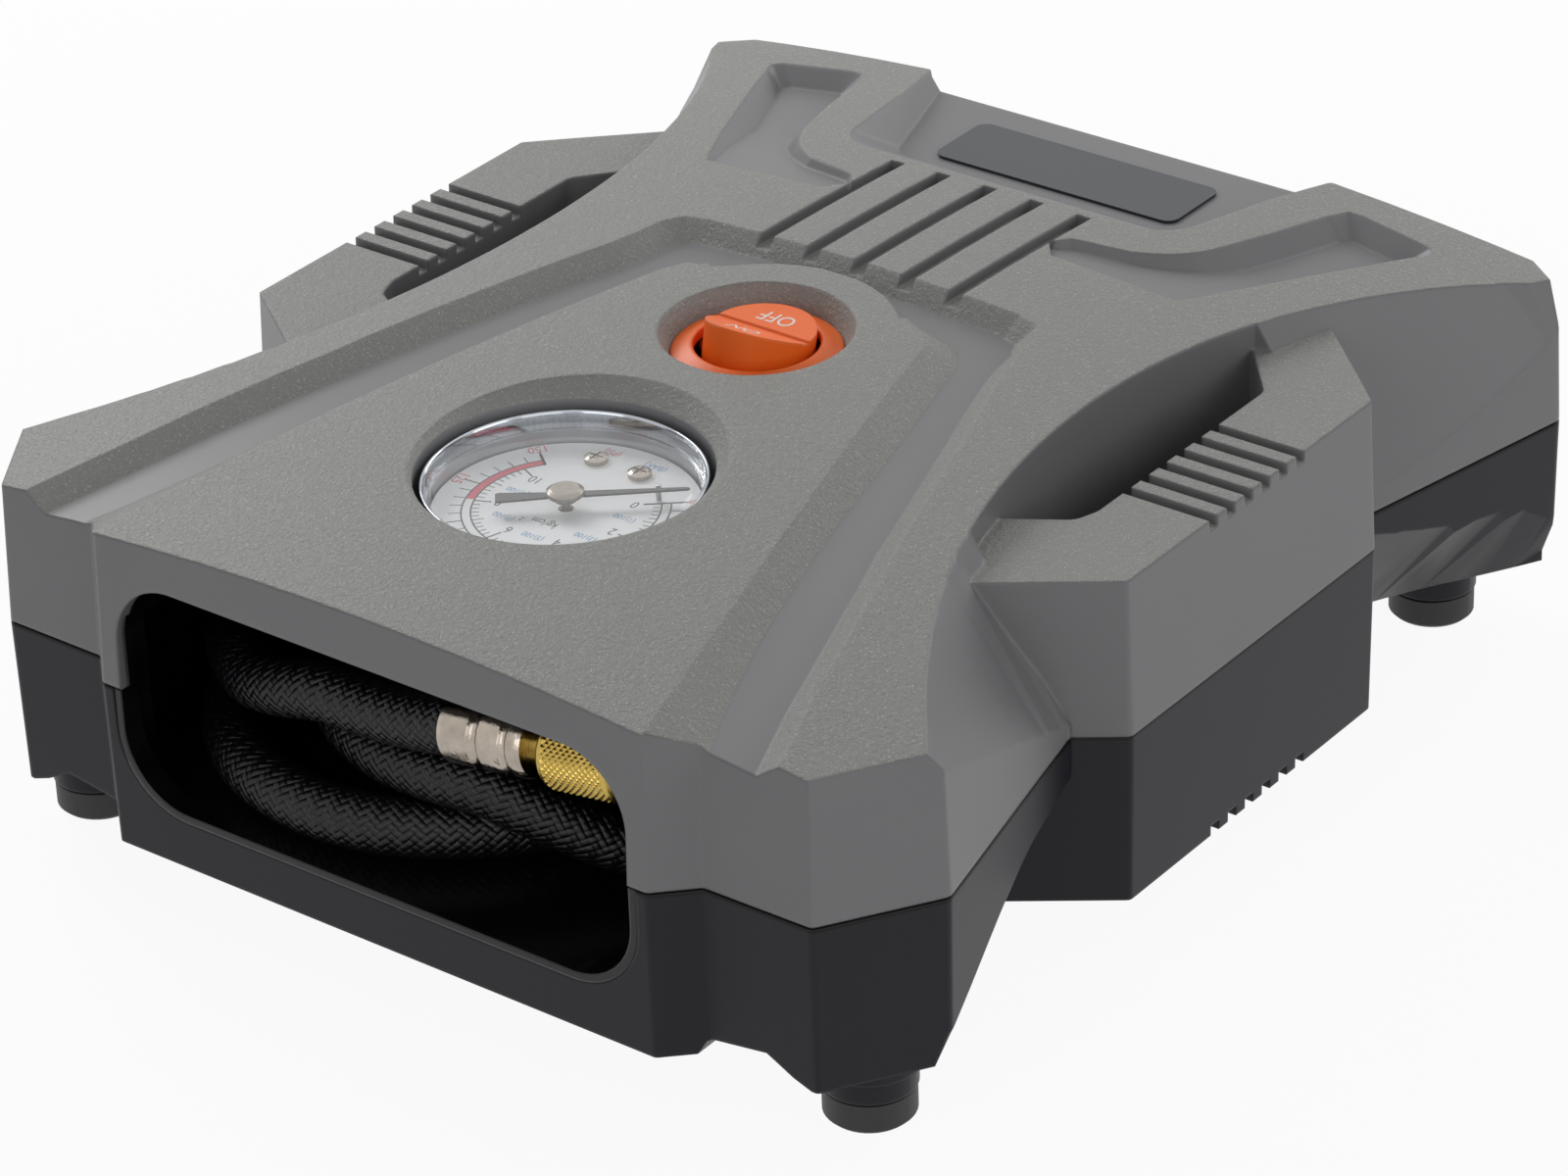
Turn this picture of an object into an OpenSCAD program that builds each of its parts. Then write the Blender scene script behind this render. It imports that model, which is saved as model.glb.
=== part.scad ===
// Portable twelve volt tyre inflator: flat two-half case with two carrying
// handles, a round pressure gauge, a round rocker switch, a coiled braided
// air hose in a front bay, and the motor, gear and piston pump inside.
// Working frame: X across the case (right side +X as seen from the bay),
// Y from the bay (-Y) to the label end (+Y), Z up. Zero of the working frame
// is on the joint plane between the two halves, midway along the handles.

/* [Case] */
// half width of the case at the front corners
case_half_width = 104.07; // [100:0.5:108]
// half width over the two handles
handle_half_width = 100; // [98:0.5:102]
// height of the highest point of the lid above the joint plane
crown_top = 40.1; // [38:0.5:42]
// depth of the bottom shell under the joint plane
shell_depth = 33; // [32:0.5:35]
// wall thickness of both shells
wall = 2.6; // [2.2:0.1:3]
// depth of the smooth valley round the control panel
valley_depth = 3.8; // [2.5:0.1:4.2]
// height of the handle's upper face above the joint plane
handle_top = 30.4; // [28:0.2:32]
// radius of the two waist curves in plan
waist_r = 160; // [150:1:170]

/* [Vents and grips] */
// number of grooves between the switch and the label
vent_count = 5; // [3:2:7]
// spacing of the grooves
vent_pitch = 10.85; // [9:0.25:11]
// width of one groove
vent_width = 3.2; // [2.4:0.2:4]
// number of grip grooves across each handle
grip_count = 6; // [4:1:7]
// spacing of the grip grooves
grip_pitch = 5.6; // [4.6:0.2:6]
// width of one grip groove
grip_width = 2.6; // [2:0.2:3]

/* [Gauge] */
// radius of the gauge opening in the lid
gauge_hole_r = 26.9; // [26.5:0.1:28]
// outer radius of the bright bezel
bezel_r = 25.75; // [24.5:0.05:26]
// radius of the dial plate
dial_r = 24.2; // [22:0.1:24.4]
// sweep of the needle in degrees
needle_sweep = 262; // [240:2:280]

/* [Switch] */
// radius of the rocker cap
rocker_r = 10.35; // [9.8:0.05:10.4]
// angle the rocker moves through in degrees
rocker_travel = 24; // [16:1:26]
// outer radius of the orange ring
ring_r = 16.1; // [15:0.1:16.4]

/* [Hose] */
// outer diameter of the braided hose
hose_d = 10.9; // [9:0.1:11]
// radius of the knurled chuck
chuck_r = 7.2; // [6.6:0.1:7.6]
// radius of the tyre valve thread in the chuck
valve_thread_r = 3.85; // [3.8:0.05:4]

/* [Feet] */
// radius of the rubber feet
foot_r = 8.3; // [7.5:0.1:9]
// height of the rubber pads
foot_pad_h = 6.4; // [5:0.2:7]

/* [Pump] */
// piston radius
piston_r = 9; // [8:0.25:10]
// throw of the crank pin
crank_throw = 7; // [5:0.5:7]
// gear module
gear_module = 1; // [1:0.1:1]
// teeth of the drive gear
gear_teeth = 44; // [40:1:46]
// teeth of the motor pinion
pinion_teeth = 10; // [9:1:12]

/* [Hidden] */

// outline and crown of the case
front_y = -127.4;
rear_y = 108;
shift_y = -(front_y + rear_y) / 2;
foot_drop = 12.7;
parting_z = shell_depth + foot_drop;
crown_y = -4;
crown_long_r = 1100;
crown_cross_r = 700;
crown_fn = 360;
crown_from_y = front_y - 8.6;
crown_to_y = rear_y + 28;
crown_steps = 16;
arc_fn = 240;
waist_x = waist_r + 64;
waist_y = 1;
draft_top = 0.0375;
draft_low = 0.0131;
seam_h = 0.5;
seam_depth = 0.5;
handle_low = -34;
handle_front = -40.2;
handle_rear = 39.4;
hand_gap_x = 80.8;

// control panel, gauge and switch
gauge_y = -70;
gauge_rim_z = 35.95;
dial_z = 28.3;
switch_y = -13.73;
switch_rim_z = 39.4;
switch_rim_r = 18.07;
ring_seat_z = 35.7;
ring_hole_r = 11.7;
ring_under_z = 34.4;
pivot_z = 33;
rocker_tilt = rocker_travel / 2;
rocker_vee = 6.1;
needle_z = 31;
needle_zero = 39.5;

// hose bay
bay_half = 57.4;
bay_top = 23.4;
bay_low = -21.5;
bay_corner = 13.6;
tray_wall = 1.6;
floor_step = 0.02;
tray_back = -12;
tray_step_y = -101;
tray_low_top = 12.8;
tray_face = front_y + 3.4;

// feet
foot_front = [89.13, -103.83];
foot_rear = [79.39, 94.6];
foot_z = -parting_z;
foot_spots = [foot_front, [-foot_front[0], foot_front[1]],
              foot_rear, [-foot_rear[0], foot_rear[1]]];

// pump layout
gear_r = gear_module * gear_teeth / 2;
pinion_r = gear_module * pinion_teeth / 2;
pump_z = -4;
motor_y = 70;
motor_r = 19;
gear_y = motor_y - gear_r - pinion_r - 0.15;
frame_x = 12;
frame_t = 3;
gear_x = 17.5;
gear_w = 6;
rod_x = 30;
crank_y = gear_y - crank_throw;
bore_end = 18.5;
bore_top = -2;
cup_y = bore_top + 2;

$fn = 64;

// ---------- shared shapes ----------

module place() {
  translate([0, shift_y, parting_z]) children();
}

module both_sides() {
  children();
  mirror([1, 0, 0]) children();
}

function crown_z(x, y, drop = 0) =
  crown_top - drop - pow(y - crown_y, 2) / (2 * crown_long_r)
  - x * x / (2 * crown_cross_r);

function unit(v) = v / norm(v);

// one rounded corner of an outline as a row of points
function corner(a, p, b, r, n) =
  let (u = unit(a - p), v = unit(b - p))
  let (half = acos(max(-1, min(1, u * v))) / 2)
  let (d = r / tan(half))
  let (mid = unit(u + v), c = p + mid * (r / sin(half)))
  let (s = p + u * d - c, e = p + v * d - c)
  r <= 0 ? [p] :
  [for (i = [0 : n])
    let (t = i / n, w = (1 - t) * s + t * e) c + unit(w) * r];

function rounded(pts, radii, n = 4) =
  let (m = len(pts))
  [for (i = [0 : m - 1])
    for (q = corner(pts[(i + m - 1) % m], pts[i], pts[(i + 1) % m], radii[i], n)) q];

// right half of an outline, front to rear, completed with its mirror image
function mirrored(half) =
  concat(half, [for (i = [len(half) - 1 : -1 : 0]) [-half[i][0], half[i][1]]]);

function mirrored_list(half) =
  concat(half, [for (i = [len(half) - 1 : -1 : 0]) half[i]]);

// outline moved inwards, counterclockwise points
function inset(pts, d) =
  let (m = len(pts))
  [for (i = [0 : m - 1])
    let (p = pts[(i + m - 1) % m], c = pts[i], q = pts[(i + 1) % m])
    let (u = unit(c - p), v = unit(q - c))
    let (nu = [-u[1], u[0]], nv = [-v[1], v[0]])
    let (k = nu + nv)
    c + k * (2 * d / (k * k))];

function ring_at(pts, z) = [for (p = pts) [p[0], p[1], z]];

// solid between two rings of the same number of points, capped to two tips
module tipped_loft(low, high, low_tip, high_tip) {
  n = len(low);
  pts = concat(low, high, [low_tip, high_tip]);
  sides = [for (i = [0 : n - 1]) for (k = [0, 1])
    let (j = (i + 1) % n) k == 0 ? [i, n + i, n + j] : [i, n + j, j]];
  floor_fan = [for (i = [0 : n - 1]) [2 * n, i, (i + 1) % n]];
  roof_fan = [for (i = [0 : n - 1]) [2 * n + 1, n + (i + 1) % n, n + i]];
  polyhedron(pts, concat(sides, floor_fan, roof_fan), convexity = 6);
}

// drafted solid between two level outlines
module draft_loft(low_pts, low_z, high_pts, high_z) {
  n = len(low_pts);
  sides = [for (i = [0 : n - 1])
    let (j = (i + 1) % n) [i, n + i, n + j, j]];
  polyhedron(concat(ring_at(low_pts, low_z), ring_at(high_pts, high_z)),
             concat([[for (i = [0 : n - 1]) i]],
                    [[for (i = [n - 1 : -1 : 0]) n + i]], sides),
             convexity = 8);
}

// level bar under the crowned surface of the lid, lowered by drop
module crown_bar(drop = 0, fade_y = 0, fade_len = 0) {
  inner = crown_cross_r - 100;
  stations = [for (i = [0 : crown_steps])
    crown_from_y + (crown_to_y - crown_from_y) * i / crown_steps];
  edge = [for (y = stations)
    let (f = fade_len == 0 ? 1 : max(0, min(1, (y - fade_y) / fade_len)))
    [crown_cross_r - drop * f - pow(y - crown_y, 2) / (2 * crown_long_r), y]];
  translate([0, 0, crown_top - crown_cross_r])
    rotate([-90, 0, 0])
      rotate_extrude($fn = crown_fn)
        polygon(concat([[inner, crown_to_y], [inner, crown_from_y]], edge));
}

// sloping band between an edge on the crown and a foot sunk under it
module sunk_loft(edge, foot, depth, tip_y, over = 0.9, under = 0.4) {
  high = [for (i = [0 : len(edge) - 1])
    let (t = [edge[i][0], edge[i][1], crown_z(edge[i][0], edge[i][1])])
    let (f = [foot[i][0], foot[i][1], crown_z(foot[i][0], foot[i][1], depth)])
    t + (t - f) * over];
  low = [for (i = [0 : len(edge) - 1])
    let (t = [edge[i][0], edge[i][1], crown_z(edge[i][0], edge[i][1])])
    let (f = [foot[i][0], foot[i][1], crown_z(foot[i][0], foot[i][1], depth)])
    f + (f - t) * under];
  cx = len([for (p = edge) if (p[0] < 0) 1]) == 0 ? 60 : 0;
  tipped_loft(low, high, [cx, tip_y, crown_z(cx, tip_y, depth + 4)],
              [cx, tip_y, crown_z(cx, tip_y) + 4.5]);
}

// ---------- outlines ----------

case_half = [[61.5, front_y], [68.3, -120.7], [90.7, -120.5],
             [case_half_width, -99.8], [92, -48], [92.2, 46.5],
             [103.25, 100.6], [92.6, rear_y], [47.2, rear_y],
             [45.8, rear_y - 1.4]];
case_radii = [1.6, 1.2, 1.6, 2, 0, 0, 2, 2, 0, 0];
case_outline = rounded(mirrored(case_half), mirrored_list(case_radii), 3);
case_inner = inset(mirrored(case_half), wall);

handle_half = [[40, -82.35], [91.4, -46.2], [handle_half_width, handle_front],
               [handle_half_width, handle_rear], [92.2, 46.9], [56, 80.6]];
handle_outline = rounded(handle_half, [0, 0, 1.8, 1.8, 0, 0], 3);
handle_core = inset([[58, -52], [90.5, -43.3], [handle_half_width, handle_front],
                     [handle_half_width, handle_rear], [91.4, 45.9], [58, 56]], wall);
hand_gap = rounded([[56, -41], [79.2, -26.8], [hand_gap_x, -22],
                    [hand_gap_x, 31.5], [68.6, 45.6], [56, 53]],
                   [0, 4, 5, 4, 5, 0], 5);

// ---------- scoops in the sides ----------

function arc_x(y) = waist_x - sqrt(waist_r * waist_r - pow(y - waist_y, 2));
function wall_x(y) = y < 0 ? 92 + (-48 - y) * 0.233 : 92.2 + (y - 46.5) * 0.2043;
function scoop_top_z(y) = y < 0 ? 2.8 + 0.405 * (-46 - y)
  : 4.7 + 0.13 * (y - 50.8) + 0.0033 * pow(y - 50.8, 2);
function scoop_low_z(y) = y < 0 ? -8 - 18.7 * pow(max(0, -46 - y) / 54.7, 1.6)
  : -4.2 - 0.32 * (y - 50);

function top_row(y) = [
  [arc_x(y), y, crown_z(arc_x(y), y)],
  [wall_x(y) - draft_top * scoop_top_z(y), y, scoop_top_z(y)]];
function low_row(y) = [
  [arc_x(y), y, -shell_depth],
  [wall_x(y) + draft_low * scoop_low_z(y), y, scoop_low_z(y)]];
function extend(a, b, k) = [for (i = [0, 1]) a[i] + (a[i] - b[i]) * k];

// wedge cut away outside a ruled face that runs from a row of inner points
// to a row of wall points
module scoop(rows, far_z, push = 0) {
  n = len(rows);
  ring = [for (r = rows)
    let (d = r[1] - r[0], s = [-push, 0, 0])
    [r[0] - d * 0.5 + s, r[1] + d * 0.4 + s,
     [150, r[0][1], r[1][2] + d[2] * 0.4], [150, r[0][1], far_z],
     [r[0][0] - d[0] * 0.5 - push, r[0][1], far_z]]];
  pts = [for (q = ring) for (p = q) p];
  up = far_z > 0;
  sides = [for (i = [0 : n - 2]) for (k = [0 : 4]) for (t = [0, 1])
    let (a = 5 * i + k, b = 5 * i + (k + 1) % 5)
    t == 0 ? (up ? [a, b, b + 5] : [a, b + 5, b])
           : (up ? [a, b + 5, a + 5] : [a, a + 5, b + 5])];
  first = [[for (k = [0 : 4]) up ? 4 - k : k]];
  last = [[for (k = [0 : 4]) 5 * (n - 1) + (up ? k : 4 - k)]];
  polyhedron(pts, concat(sides, first, last), convexity = 4);
}

front_y_rows = [-98, -91, -84, -77, -70, -63, -56, -49, -44];
rear_y_rows = [44, 51, 58, 65, 72, 79, 86, 92, 98];

module side_scoops_top(push = 0) {
  front = [for (y = front_y_rows) top_row(y)];
  rear = [for (y = rear_y_rows) top_row(y)];
  scoop(concat([extend(front[0], front[1], 2)], front), 60, push);
  scoop(concat(rear, [extend(rear[8], rear[7], 2)]), 60, push);
}

module side_scoops_low(push = 0) {
  front = [for (y = front_y_rows) low_row(y)];
  rear = [for (y = rear_y_rows) low_row(y)];
  scoop(concat([extend(front[0], front[1], 2)], front), -60, push);
  scoop(concat(rear, [extend(rear[8], rear[7], 2)]), -60, push);
}

// steep wall of the waist beside the hand gap
module waist_cut(low_z, high_z, push = 0) {
  intersection() {
    translate([waist_x, waist_y, low_z])
      cylinder(h = high_z - low_z, r = waist_r + push, $fn = arc_fn);
    translate([40, -47 - push, low_z])
      cube([90, 92 + 2 * push, high_z - low_z]);
  }
}

// ---------- top cover ----------

valley_edge = mirrored([[91.6, -141], [84.8, -121], [78.1, -101.5], [72.4, -82.7],
  [64, -57], [56.4, -31.8], [51, -15.2], [45.8, 0.5], [44.4, 6.5], [43.6, 13],
  [41, 17.2], [36, 18.5], [18, 18.5]]);
valley_foot = mirrored([[87.4, -142.4], [80.6, -122.4], [73.9, -102.9], [68.2, -84.1],
  [59.8, -58.4], [52.2, -33.2], [46.8, -16.6], [41.8, -0.6], [40.5, 4.6], [39.7, 10.6],
  [38, 14], [34.6, 15.2], [18, 15.2]]);

bulge_r = 26;
bulge_steps = [42, 52, 62, 72, 81];
panel_edge = mirrored(concat([[63.5, -140], [60.2, -122], [57.9, -109.8], [53.5, -93.2],
  [50, -80], [42, -50.5], [39, -37.1], [35.2, -23.2], [31.2, -10.5], [29.7, -3.4],
  [27.6, 0.8], [23.6, 2.6]],
  [for (a = bulge_steps) [bulge_r * cos(a), switch_y + bulge_r * sin(a)]]));
panel_foot = mirrored(concat([[77, -140], [70.2, -122], [65.4, -108.6], [59.2, -92],
  [55.2, -79], [47.4, -49], [44.6, -35.9], [40.9, -21.9], [36.8, -8.8], [35, -0.6],
  [31.2, 5.2], [24.6, 6.6]],
  [for (a = bulge_steps) [(bulge_r + 2.6) * cos(a), switch_y + (bulge_r + 2.6) * sin(a)]]));

pocket_edge = [[26.5, 42], [54.6, 42], [58.4, 49.4], [64.7, 62.7], [73.2, 81.8],
  [77.6, 91.6], [78.2, 94.4], [76.4, 95.9], [67, 97.1], [60.2, 98], [57, 97.4],
  [55.2, 92.6], [52.1, 79.1], [48.8, 67.4], [46.8, 62.2], [43.2, 57.4], [37.4, 53.2],
  [31, 51.8], [25.6, 50.6], [22.6, 47]];
pocket_foot = [[27.5, 42.6], [51.6, 42.8], [55, 50.6], [61, 64.2], [69.6, 83.4],
  [73.4, 90.2], [73.4, 91.8], [72.4, 92.4], [66.4, 93.2], [60.9, 93.9], [59.6, 93.2],
  [58.8, 91.7], [55.7, 78.2], [52.3, 66.2], [49.8, 60.2], [45.4, 54.8], [38.4, 50],
  [31.6, 48.6], [27.6, 47.6], [25.2, 45.6]];

module rear_pockets() {
  both_sides() difference() {
    sunk_loft(pocket_edge, pocket_foot, 4, 72, 0.9, 0.2);
    crown_bar(4, 40, 24);
  }
}

label_floor = 29.3;
label_lean = 0.7;
plate_half = 28.22;
plate_from_y = 80.28;
plate_to_y = 97.53;
plate_t = 0.6;

module label_recess() {
  h = 45 - label_floor;
  s = label_lean * h;
  low = rounded([[-35, 77], [35, 77], [48.5, 118], [-48.5, 118]], [5, 5, 0, 0], 5);
  high = rounded([[-35 - s * 0.62, 49.6], [35 + s * 0.62, 49.6],
                  [48.5 + s, 118], [-48.5 - s, 118]], [11, 11, 0, 0], 5);
  draft_loft(low, label_floor, high, 45);
}

module bay_shape(grow = 0) {
  w = bay_half + grow;
  r = bay_corner + grow;
  polygon(rounded([[-w, bay_low - grow], [w, bay_low - grow],
                   [w, bay_top + grow], [-w, bay_top + grow]], [r, r, r, r], 12));
}

// prism along Y of the bay outline
module bay_prism(from_y, to_y, grow = 0) {
  translate([0, to_y, 0])
    rotate([90, 0, 0])
      linear_extrude(to_y - from_y) bay_shape(grow);
}

tray_half = [[58.5, tray_face + 0.6], [58.5, -118.5], [66.5, -113], [71.2, -100],
             [71.2, -62], [65, -40], [60.5, -24], [59.6, tray_back - tray_wall]];
tray_outline = rounded(mirrored(tray_half), mirrored_list([0, 0, 3, 6, 8, 0, 0, 2]), 5);

// volume of the hose tray, grown outwards by g
module tray_space(g = 0, from_y = tray_face) {
  bay_prism(from_y, tray_step_y + g, g);
  translate([0, 0, bay_low - g + floor_step])
    linear_extrude(tray_low_top - bay_low + 2 * g) polygon(inset(tray_outline, -g));
}

// screw bosses of the case
boss_half = [[82, -92], [90.4, -30], [90.4, 30], [70, 70], [52, 98]];
boss_spots = concat(boss_half, [for (p = boss_half) [-p[0], p[1]]]);

module cover_bosses(from_z, to_z, r, fn = 24) {
  for (p = boss_spots)
    translate([p[0], p[1], from_z]) cylinder(h = to_z - from_z, r = r, $fn = fn);
}

// outer walls of the lid: a shallow step for the joint line, then drafted sides
module lid_sides() {
  linear_extrude(seam_h) polygon(inset(case_outline, seam_depth));
  draft_loft(inset(case_outline, draft_top * seam_h), seam_h,
             inset(case_outline, draft_top * 46), 46);
}

module lid_body() {
  difference() {
    intersection() {
      lid_sides();
      union() {
        crown_bar(valley_depth);
        difference() {
          crown_bar(0);
          sunk_loft(valley_edge, valley_foot, valley_depth, -60, 0.9, 0.5);
        }
        intersection() {
          crown_bar(0);
          sunk_loft(panel_edge, panel_foot, valley_depth, -70, 0.9, 0.5);
        }
      }
    }
    both_sides() side_scoops_top();
    both_sides() waist_cut(-1, 60);
    rear_pockets();
    label_recess();
  }
}

module handle_block(low_z, high_z, lean) {
  h = abs(high_z - low_z);
  d = lean * h;
  up = lean * high_z > 0 || high_z > 0;
  if (up) draft_loft(handle_outline, low_z, inset(handle_outline, d), high_z);
  else draft_loft(inset(handle_outline, d), low_z, handle_outline, high_z);
}

module hand_gap_cut(low_z, high_z, grow = 0) {
  intersection() {
    translate([0, 0, low_z])
      linear_extrude(high_z - low_z)
        polygon(grow == 0 ? hand_gap : inset(hand_gap, -grow));
    translate([waist_x, waist_y, low_z])
      cylinder(h = high_z - low_z, r = waist_r + grow, $fn = arc_fn);
  }
}

module grip_cuts(z_mid, dir) {
  for (i = [0 : grip_count - 1])
    translate([hand_gap_x - 4, 1.05 + (i - (grip_count - 1) / 2) * grip_pitch - grip_width / 2,
               dir > 0 ? z_mid : z_mid - 10])
      cube([30, grip_width, 10]);
}

// lid with its cavity, ribs and slots, before the round holes are cut
module lid_shell() {
  cavity_in = inset(case_inner, draft_top * 46);
  difference() {
    union() {
      lid_body();
      both_sides() difference() {
        handle_block(0, handle_top, draft_top);
        waist_inner_keepout(0, 40);
      }
    }
    difference() {
      intersection() {
        crown_bar(valley_depth + wall);
        draft_loft(case_inner, -1, cavity_in, 46);
      }
      both_sides() side_scoops_top(wall * 1.5);
      both_sides() waist_cut(-2, 60, wall);
      translate([-54, 72, label_floor - wall]) cube([108, 50, 20]);
      both_sides() grip_root(-2, 60);
      cover_bosses(0.5, 30, 4);
      translate([-60.6, front_y, -2]) cube([121.2, tray_face - front_y, 40]);
      translate([0, gauge_y, 22.4]) cylinder(h = 14, r = gauge_hole_r + 2, $fn = 60);
      translate([0, switch_y, 29]) cylinder(h = 6, r = 16.4, $fn = 48);
    }
    both_sides() hand_gap_cut(-2, 60);
    both_sides() difference() {
      translate([0, 0, -1])
        linear_extrude(handle_top - wall + 1) polygon(handle_core);
      hand_gap_cut(-2, 60, wall);
      translate([0, -60, -2]) cube([hand_gap_x - 1, 120, 60]);
      cover_bosses(0.5, 30, 4);
    }
    both_sides() grip_cuts(handle_top - 2, 1);
    for (i = [0 : vent_count - 1]) vent(i);
    bay_prism(front_y - 5, front_y + 8);
    tray_space(tray_wall + 0.1);
  }
}

module top_cover() color("#7f7f7a") place() {
  difference() {
    resize([0, 0, 0]) lid_shell();
    gauge_opening();
    switch_opening();
    cover_bosses(-1, 14, 1.5, 32);
  }
}

module waist_inner_keepout(low_z, high_z) {
  translate([0, -100, low_z]) cube([62, 200, high_z - low_z]);
}

// solid root of a handle beside the hand gap
module grip_root(low_z, high_z) {
  translate([waist_x - waist_r - wall, -52, low_z]) cube([60, 102, high_z - low_z]);
}

module vent(i) {
  x = (i - (vent_count - 1) / 2) * vent_pitch;
  difference() {
    translate([x - vent_width / 2, 14, 30]) cube([vent_width, 46.2, 20]);
    crown_bar(2.3);
  }
}

module gauge_opening() {
  translate([0, gauge_y, 21]) cylinder(h = 5, r = 22, $fn = 128);
  translate([0, gauge_y, 24]) cylinder(h = gauge_rim_z - 24, r = gauge_hole_r, $fn = 128);
  translate([0, gauge_y, gauge_rim_z])
    cylinder(h = 6, r1 = gauge_hole_r, r2 = gauge_hole_r + 6, $fn = 128);
}

module switch_opening() {
  lean = (switch_rim_r - ring_r - 0.1) / (switch_rim_z - ring_seat_z);
  drop = ring_seat_z - ring_under_z;
  translate([0, switch_y, ring_under_z])
    cylinder(h = 6.5, r1 = ring_r + 0.1 - drop * lean, r2 = ring_r + 0.1 + (6.5 - drop) * lean,
             $fn = 96);
  translate([0, switch_y, 28]) cylinder(h = 8, r = 14.4, $fn = 96);
}

// ---------- bottom cover ----------

module foot_bosses(from_z, to_z, r) {
  for (p = foot_spots)
    translate([p[0], p[1], from_z]) cylinder(h = to_z - from_z, r = r, $fn = 48);
}

module shell_body() {
  low_in = inset(case_outline, draft_low * shell_depth);
  difference() {
    draft_loft(low_in, -shell_depth, case_outline, 0);
    both_sides() side_scoops_low();
    both_sides() waist_cut(-60, 1);
    both_sides() leg_relief();
  }
}

// shallow hollow under the case between the bay and each front foot
module leg_relief() {
  translate([60, -123, -shell_depth - 1])
    rotate([-90, 0, 0])
      linear_extrude(66)
        polygon([[4, 3], [8, -3.7], [20, -5.4], [25.5, -2.4], [29.5, -0.9], [29.5, 3]]);
}

// shell with its cavity and ribs, before the round holes are cut
module base_shell() {
  cavity_in = inset(case_inner, draft_low * shell_depth);
  difference() {
    union() {
      shell_body();
      both_sides() difference() {
        handle_block(handle_low, 0, draft_low);
        waist_inner_keepout(handle_low - 1, 1);
      }
      foot_bosses(-foot_boss_h - shell_depth, -20, foot_r + 1.4);
    }
    difference() {
      draft_loft(cavity_in, wall - shell_depth, case_inner, 1);
      both_sides() side_scoops_low(wall * 1.5);
      both_sides() waist_cut(-60, 2, wall);
      both_sides() grip_root(-60, 2);
      both_sides() relief_cover();
      cover_bosses(-shell_depth - 1, 0.5, 4.4);
      foot_bosses(-shell_depth - 1, -20, foot_r + 1.4);
      translate([-60.6, front_y, -40]) cube([121.2, tray_face - front_y - 0.4, 42]);
      motor_saddle(-36);
      motor_saddle(-6);
    }
    both_sides() hand_gap_cut(-60, 2);
    both_sides() difference() {
      translate([0, 0, handle_low + wall])
        linear_extrude(-handle_low - wall + 1) polygon(handle_core);
      hand_gap_cut(-60, 2, wall);
      translate([0, -60, -60]) cube([hand_gap_x - 1, 120, 62]);
      cover_bosses(-50, 0.5, 4.4);
    }
    both_sides() grip_cuts(handle_low + 2, -1);
    tray_space(tray_wall + 0.1, front_y - 5);
    for (i = [0 : 6])
      translate([-46 + 6 * i, 54, -shell_depth - 1]) cube([2.6, 32, 6]);
  }
}

module bottom_cover() color("#2e2e33") place() {
  difference() {
    resize([0, 0, 0]) base_shell();
    cover_bosses(-shell_depth - 1, 1, 1.7);
    cover_bosses(-shell_depth - 3, -27, 3.5);
    for (p = foot_spots)
      translate([p[0], p[1], -60]) cylinder(h = 52, r = 1.5, $fn = 32);
    translate([0, rear_y + 5, -14]) rotate([90, 0, 0]) cylinder(h = 14, r = 5.2, $fn = 48);
  }
}

module relief_cover() {
  translate([60, -123, -shell_depth]) cube([30, 68, 7.6]);
}

module motor_saddle(x) {
  difference() {
    translate([x, motor_y - 22, -shell_depth + 1]) cube([5, 44, 22]);
    translate([x - 1, motor_y, pump_z]) rotate([0, 90, 0]) cylinder(h = 8, r = motor_r, $fn = 96);
  }
}

// ---------- hose tray and label ----------

module hose_tray() color("#0c0c0e") place() {
  difference() {
    union() {
      difference() {
        tray_space(tray_wall);
        tray_space(0);
        bay_prism(front_y - 5, tray_step_y, 0);
      }
      difference() {
        bay_prism(front_y + 0.2, tray_face + 1.6, tray_wall);
        translate([-70, front_y - 1, 0]) cube([140, tray_face - front_y + 1, 40]);
      }
    }
    bay_prism(front_y - 5, tray_step_y, 0);
    translate([hose_start_x, tray_back - 5, hose_start_z])
      rotate([-90, 0, 0]) cylinder(h = 10, r = 4.5, $fn = 48);
  }
}

module name_plate() color("#2b2e36") place() {
  plate = rounded([[-plate_half, plate_from_y], [plate_half, plate_from_y],
                   [plate_half, plate_to_y], [-plate_half, plate_to_y]],
                  [2.5, 2.5, 2.5, 2.5], 6);
  translate([0, 0, label_floor]) linear_extrude(plate_t) polygon(plate);
}

// ---------- gauge ----------

module at_gauge(z = 0) {
  translate([0, gauge_y, z]) children();
}

module gauge_case() color("#8d9095") place() {
  difference() {
    at_gauge() rotate_extrude($fn = 128)
      polygon([[0, 15], [20.5, 15], [21.6, 16.1], [21.6, 24], [25.4, 24], [25.4, 31],
               [24.6, 31], [24.6, 24.9], [20.8, 24.9], [20.8, 16.6], [0, 16.6]]);
    at_gauge(19) rotate([-90, 0, 0]) cylinder(h = 30, r = 3.05, $fn = 48);
  }
}

module gauge_bezel() color("#d8dadd") place() {
  at_gauge() rotate_extrude($fn = 128)
    polygon([[25.4, 29], [25.75, 29], [25.75, 34.05], [25.68, 34.3], [25.5, 34.45],
             [25.2, 34.45], [25.02, 34.3], [24.9, 34], [24.9, 31], [25.4, 31]]);
}

module gauge_lens() color("#dfe6ea", 0.3) place() {
  at_gauge() rotate_extrude($fn = 128)
    polygon([[0, 32.7], [24.1, 32.7], [24.1, 31], [24.9, 31], [24.9, 33.9], [23.7, 33.9],
             [23.3, 34.2], [0, 34.2]]);
}

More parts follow.
